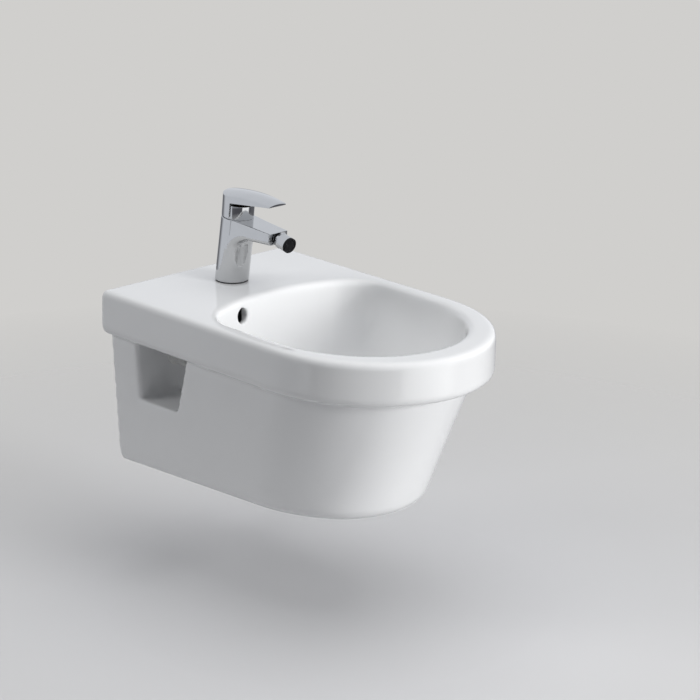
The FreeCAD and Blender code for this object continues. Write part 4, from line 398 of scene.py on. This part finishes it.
def make_finishes(settings):
    """Make every finish once."""
    FINISHES.update(
        china_glaze=glaze_finish(settings),
        chrome_plate=chrome_finish(settings),
        plain_brass=brass_finish(),
        zinc_steel=zinc_finish(),
        black_rubber=rubber_finish(),
        white_plastic=plastic_finish("white_plastic", (0.80, 0.80, 0.78), (0.84, 0.84, 0.82), 0.22),
        grey_plastic=plastic_finish("grey_plastic", (0.55, 0.55, 0.53), (0.62, 0.62, 0.60), 0.38),
        black_plastic=plastic_finish("black_plastic", (0.005, 0.005, 0.006), (0.010, 0.010, 0.011), 0.36,
                                     shine=0.12),
        disc_ceramic=disc_finish(),
    )


def only(piece):
    """Leave one object selected and active."""
    bpy.ops.object.select_all(action="DESELECT")
    piece.select_set(True)
    bpy.context.view_layer.objects.active = piece


def dress(piece, slot, body, *nodes):
    """Give a finished piece its material, its body and the nodes that it stands for."""
    piece.data.materials.clear()
    piece.data.materials.append(FINISHES[slot])
    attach(piece, body)
    if nodes:
        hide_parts(*nodes)
    return piece


def merged_copy(node, name):
    """A copy of a node whose loose triangles are merged into one skin."""
    piece = bpy.data.objects.new(name, frame["nodes"][node].data.copy())
    bpy.context.scene.collection.objects.link(piece)
    only(piece)
    bpy.ops.mesh.customdata_custom_splitnormals_clear()
    bpy.ops.object.mode_set(mode="EDIT")
    bpy.ops.mesh.select_all(action="SELECT")
    bpy.ops.mesh.remove_doubles(threshold=MERGE_REACH)
    bpy.ops.object.mode_set(mode="OBJECT")
    return piece


def joined(pieces, name):
    """Several pieces as one object."""
    only(pieces[0])
    for piece in pieces:
        piece.select_set(True)
    bpy.ops.object.join()
    pieces[0].name = name
    return pieces[0]


def with_modifier(piece, kind, **settings):
    """Add a modifier, set it up and apply it."""
    only(piece)
    bpy.ops.object.modifier_add(type=kind)
    modifier = piece.modifiers[-1]
    for key, value in settings.items():
        setattr(modifier, key, value)
    bpy.ops.object.modifier_apply(modifier=modifier.name)


def thinned(piece, most):
    """Thin a piece of quads to a number of triangles, and shade it smooth."""
    with_modifier(piece, "DECIMATE", ratio=min(1.0, most / (2 * len(piece.data.polygons))))
    bpy.ops.object.shade_smooth()


class BidetSettings(bpy.types.PropertyGroup):
    """Sizes and colours of the dressed bidet."""

    glaze: bpy.props.FloatVectorProperty(
        name="Glaze", description="Colour of the glaze", subtype="COLOR", default=(0.84, 0.845, 0.85),
        min=0.0, max=1.0)
    chrome: bpy.props.FloatVectorProperty(
        name="Chrome", description="Colour of the chrome plate", subtype="COLOR",
        default=(0.55, 0.555, 0.56), min=0.0, max=1.0)
    floor: bpy.props.FloatVectorProperty(
        name="Floor", description="Colour of the floor", subtype="COLOR", default=(0.70, 0.70, 0.71),
        min=0.0, max=1.0)
    backdrop: bpy.props.FloatVectorProperty(
        name="Backdrop", description="Colour of the surroundings", subtype="COLOR",
        default=(0.631, 0.624, 0.610), min=0.0, max=1.0)
    ceiling: bpy.props.FloatVectorProperty(
        name="Ceiling", description="Colour of what metal mirrors from above", subtype="COLOR",
        default=(0.61, 0.63, 0.67), min=0.0, max=1.0)
    mirrored: bpy.props.FloatProperty(
        name="Mirrored", description="Strength of the room that metal mirrors", default=1.36, min=0.0)
    ambient: bpy.props.FloatProperty(
        name="Ambient", description="Strength of the even light from the surroundings", default=0.14,
        min=0.0)
    soft_edge: bpy.props.FloatProperty(
        name="Soft Edge", description="Grain of the mesh that softens the edges of the china",
        default=0.0022, unit="LENGTH")
    most_triangles: bpy.props.IntProperty(
        name="Most Triangles", description="Triangles that the china is thinned to", default=180000)
    tap_grain: bpy.props.FloatProperty(
        name="Tap Grain", description="Grain of the mesh that softens the tap's casting", default=0.0007,
        unit="LENGTH")
    tap_triangles: bpy.props.IntProperty(
        name="Tap Triangles", description="Triangles that the tap's casting is thinned to", default=90000)
    seam_reach: bpy.props.FloatProperty(
        name="Seam Reach", description="How far the blend under the spout spreads", default=0.024,
        unit="LENGTH")
    seam_rounds: bpy.props.IntProperty(
        name="Seam Rounds", description="Rounds of smoothing under the spout", default=420)
    floor_drop: bpy.props.FloatProperty(
        name="Floor Drop", description="Floor below the wall fixings", default=0.3387, unit="LENGTH")


class BIDET_OT_stage(bpy.types.Operator):
    """Set up the floor, the light and the camera"""

    bl_idname = "bidet.stage"
    bl_label = "Stage"

    def execute(self, context):
        settings = context.scene.bidet
        bpy.ops.object.select_all(action="DESELECT")
        bpy.ops.mesh.primitive_plane_add(size=FLOOR_SIZE, location=(0.0, 0.0, -settings.floor_drop))
        floor = context.active_object
        floor.name = "floor"
        floor.data.materials.append(floor_finish(settings))
        for name, spot, size, power in LAMPS:
            self.add_lamp(name, spot, size, power)
        context.scene.world = surround(settings)
        self.add_camera(context)
        context.scene.view_settings.view_transform = "Standard"
        return {"FINISHED"}

    @staticmethod
    def add_lamp(name, spot, size, power):
        """A soft square lamp that faces the bidet."""
        bpy.ops.object.light_add(type="AREA", location=spot)
        lamp = bpy.context.active_object
        lamp.name = name
        lamp.data.size = size
        lamp.data.energy = power
        lamp.visible_glossy = False
        lamp.rotation_mode = "QUATERNION"
        lamp.rotation_quaternion = (LAMP_TARGET - Vector(spot)).to_track_quat("-Z", "Y")

    @staticmethod
    def add_camera(context):
        """The camera that the photograph was taken with."""
        bpy.ops.object.camera_add()
        camera = context.active_object
        turned = Matrix((CAMERA_RIGHT, CAMERA_UP, -CAMERA_FORWARD)).transposed().to_4x4()
        camera.matrix_world = Matrix.Translation(CAMERA_SPOT) @ turned
        camera.data.sensor_width = SENSOR_WIDTH
        camera.data.lens = FOCAL_PIXELS / IMAGE_SIDE * SENSOR_WIDTH
        camera.data.clip_end = FAR_CLIP
        context.scene.camera = camera


class BIDET_OT_china(bpy.types.Operator):
    """Cast the china with soft edges"""

    bl_idname = "bidet.china"
    bl_label = "China"

    def execute(self, context):
        settings = context.scene.bidet
        castings = [name for name, slot in SLOTS.items() if slot == "china_glaze"]
        shell = joined([merged_copy(name, f"{name}_copy") for name in castings], "china_shell")
        with_modifier(shell, "REMESH", mode="VOXEL", voxel_size=settings.soft_edge)
        with_modifier(shell, "SMOOTH", factor=SMOOTH_FACTOR, iterations=CHINA_ROUNDS)
        thinned(shell, settings.most_triangles)
        dress(shell, "china_glaze", "fixture", *castings)
        return {"FINISHED"}


class BIDET_OT_tap(bpy.types.Operator):
    """Dress the tap's casting, sleeve and lever"""

    bl_idname = "bidet.tap"
    bl_label = "Tap"

    def execute(self, context):
        settings = context.scene.bidet
        casting = joined([merged_copy("tap_body", "tap_casting"), self.add_roof()], "tap_casting")
        with_modifier(casting, "REMESH", mode="VOXEL", voxel_size=settings.tap_grain)
        with_modifier(casting, "SMOOTH", factor=SMOOTH_FACTOR, iterations=TAP_ROUNDS)
        self.mark_seam(casting, settings)
        with_modifier(casting, "SMOOTH", factor=SMOOTH_FACTOR, iterations=settings.seam_rounds,
                      vertex_group="seam")
        casting.vertex_groups.clear()
        thinned(casting, settings.tap_triangles)
        dress(casting, "chrome_plate", "fixture", "tap_body")
        for node, name, body in (("cover_sleeve", "tap_sleeve", "fixture"),
                                 ("lever_handle", "tap_lever", "lever"),
                                 ("nozzle_barrel", "spray_barrel", "nozzle")):
            piece = merged_copy(node, name)
            bpy.ops.object.mode_set(mode="EDIT")
            bpy.ops.mesh.select_all(action="SELECT")
            bpy.ops.mesh.dissolve_limited(angle_limit=FLAT_ANGLE)
            bpy.ops.object.mode_set(mode="OBJECT")
            with_modifier(piece, "BEVEL", width=EDGE_WIDTH, segments=EDGE_SEGMENTS, limit_method="ANGLE",
                          angle_limit=EDGE_ANGLE, harden_normals=False)
            bpy.ops.object.shade_smooth_by_angle(angle=SHADE_ANGLE)
            dress(piece, "chrome_plate", body, node)
        return {"FINISHED"}

    @staticmethod
    def add_roof():
        """A slab that thickens the spout's top over the nozzle's socket."""
        middle = HEAD_CENTRE + HEAD_FRONT * ROOF_FORWARD - HEAD_AXIS * (ROOF_SIZE[2] / 2 + ROOF_BELOW)
        lean = math.atan2(-HEAD_AXIS.y, HEAD_AXIS.z)
        bpy.ops.object.select_all(action="DESELECT")
        bpy.ops.mesh.primitive_cube_add(size=1.0, location=middle, rotation=(lean, 0.0, 0.0),
                                        scale=ROOF_SIZE)
        bpy.ops.object.transform_apply(location=True, rotation=True, scale=True)
        return bpy.context.active_object

    @staticmethod
    def mark_seam(casting, settings):
        """Weigh the points near the seam of the spout's underside and the column."""
        group = casting.vertex_groups.new(name="seam")
        for point in casting.data.vertices:
            offset = point.co - HEAD_CENTRE
            forward = offset.dot(HEAD_FRONT)
            below = -offset.dot(HEAD_AXIS)
            share = max(0.0, min(1.0, forward / SEAM_FORWARD))
            level = SEAM_SIDE_BELOW + (SEAM_FRONT_BELOW - SEAM_SIDE_BELOW) * share
            past = max(forward - SEAM_FORWARD, 0.0)
            near = 1.0 - math.hypot(below - level, past) / settings.seam_reach
            weight = min(1.0, near * SEAM_GAIN, forward / SEAM_START)
            if weight > 0.0 and math.hypot(offset.x, forward) > COLUMN_SKIN:
                group.add([point.index], weight, "REPLACE")


class BIDET_OT_finishes(bpy.types.Operator):
    """Give every node that still shows its finish"""

    bl_idname = "bidet.finishes"
    bl_label = "Finishes"

    def execute(self, context):
        for name, node in frame["nodes"].items():
            if not node.hide_render:
                node.data.materials.clear()
                node.data.materials.append(FINISHES[SLOTS[name]])
        return {"FINISHED"}


class BIDET_PT_panel(bpy.types.Panel):
    """The bidet's tools in the sidebar"""

    bl_label = "Bidet"
    bl_idname = "BIDET_PT_panel"
    bl_space_type = "VIEW_3D"
    bl_region_type = "UI"
    bl_category = "Bidet"

    def draw(self, context):
        layout = self.layout
        settings = context.scene.bidet
        for name in ("glaze", "chrome", "floor", "backdrop", "ceiling", "mirrored", "ambient", "soft_edge",
                     "most_triangles", "tap_grain", "tap_triangles", "seam_reach", "seam_rounds",
                     "floor_drop"):
            layout.prop(settings, name)
        for operator in OPERATORS:
            layout.operator(operator.bl_idname)


OPERATORS = (BIDET_OT_stage, BIDET_OT_china, BIDET_OT_tap, BIDET_OT_finishes)
CLASSES = (BidetSettings, *OPERATORS, BIDET_PT_panel)


def register():
    for one in CLASSES:
        bpy.utils.register_class(one)
    bpy.types.Scene.bidet = bpy.props.PointerProperty(type=BidetSettings)


def unregister():
    del bpy.types.Scene.bidet
    for one in reversed(CLASSES):
        bpy.utils.unregister_class(one)


def main():
    register()
    make_finishes(bpy.context.scene.bidet)
    bpy.ops.bidet.stage()
    bpy.ops.bidet.china()
    bpy.ops.bidet.tap()
    bpy.ops.bidet.finishes()


if __name__ == "__main__":
    main()
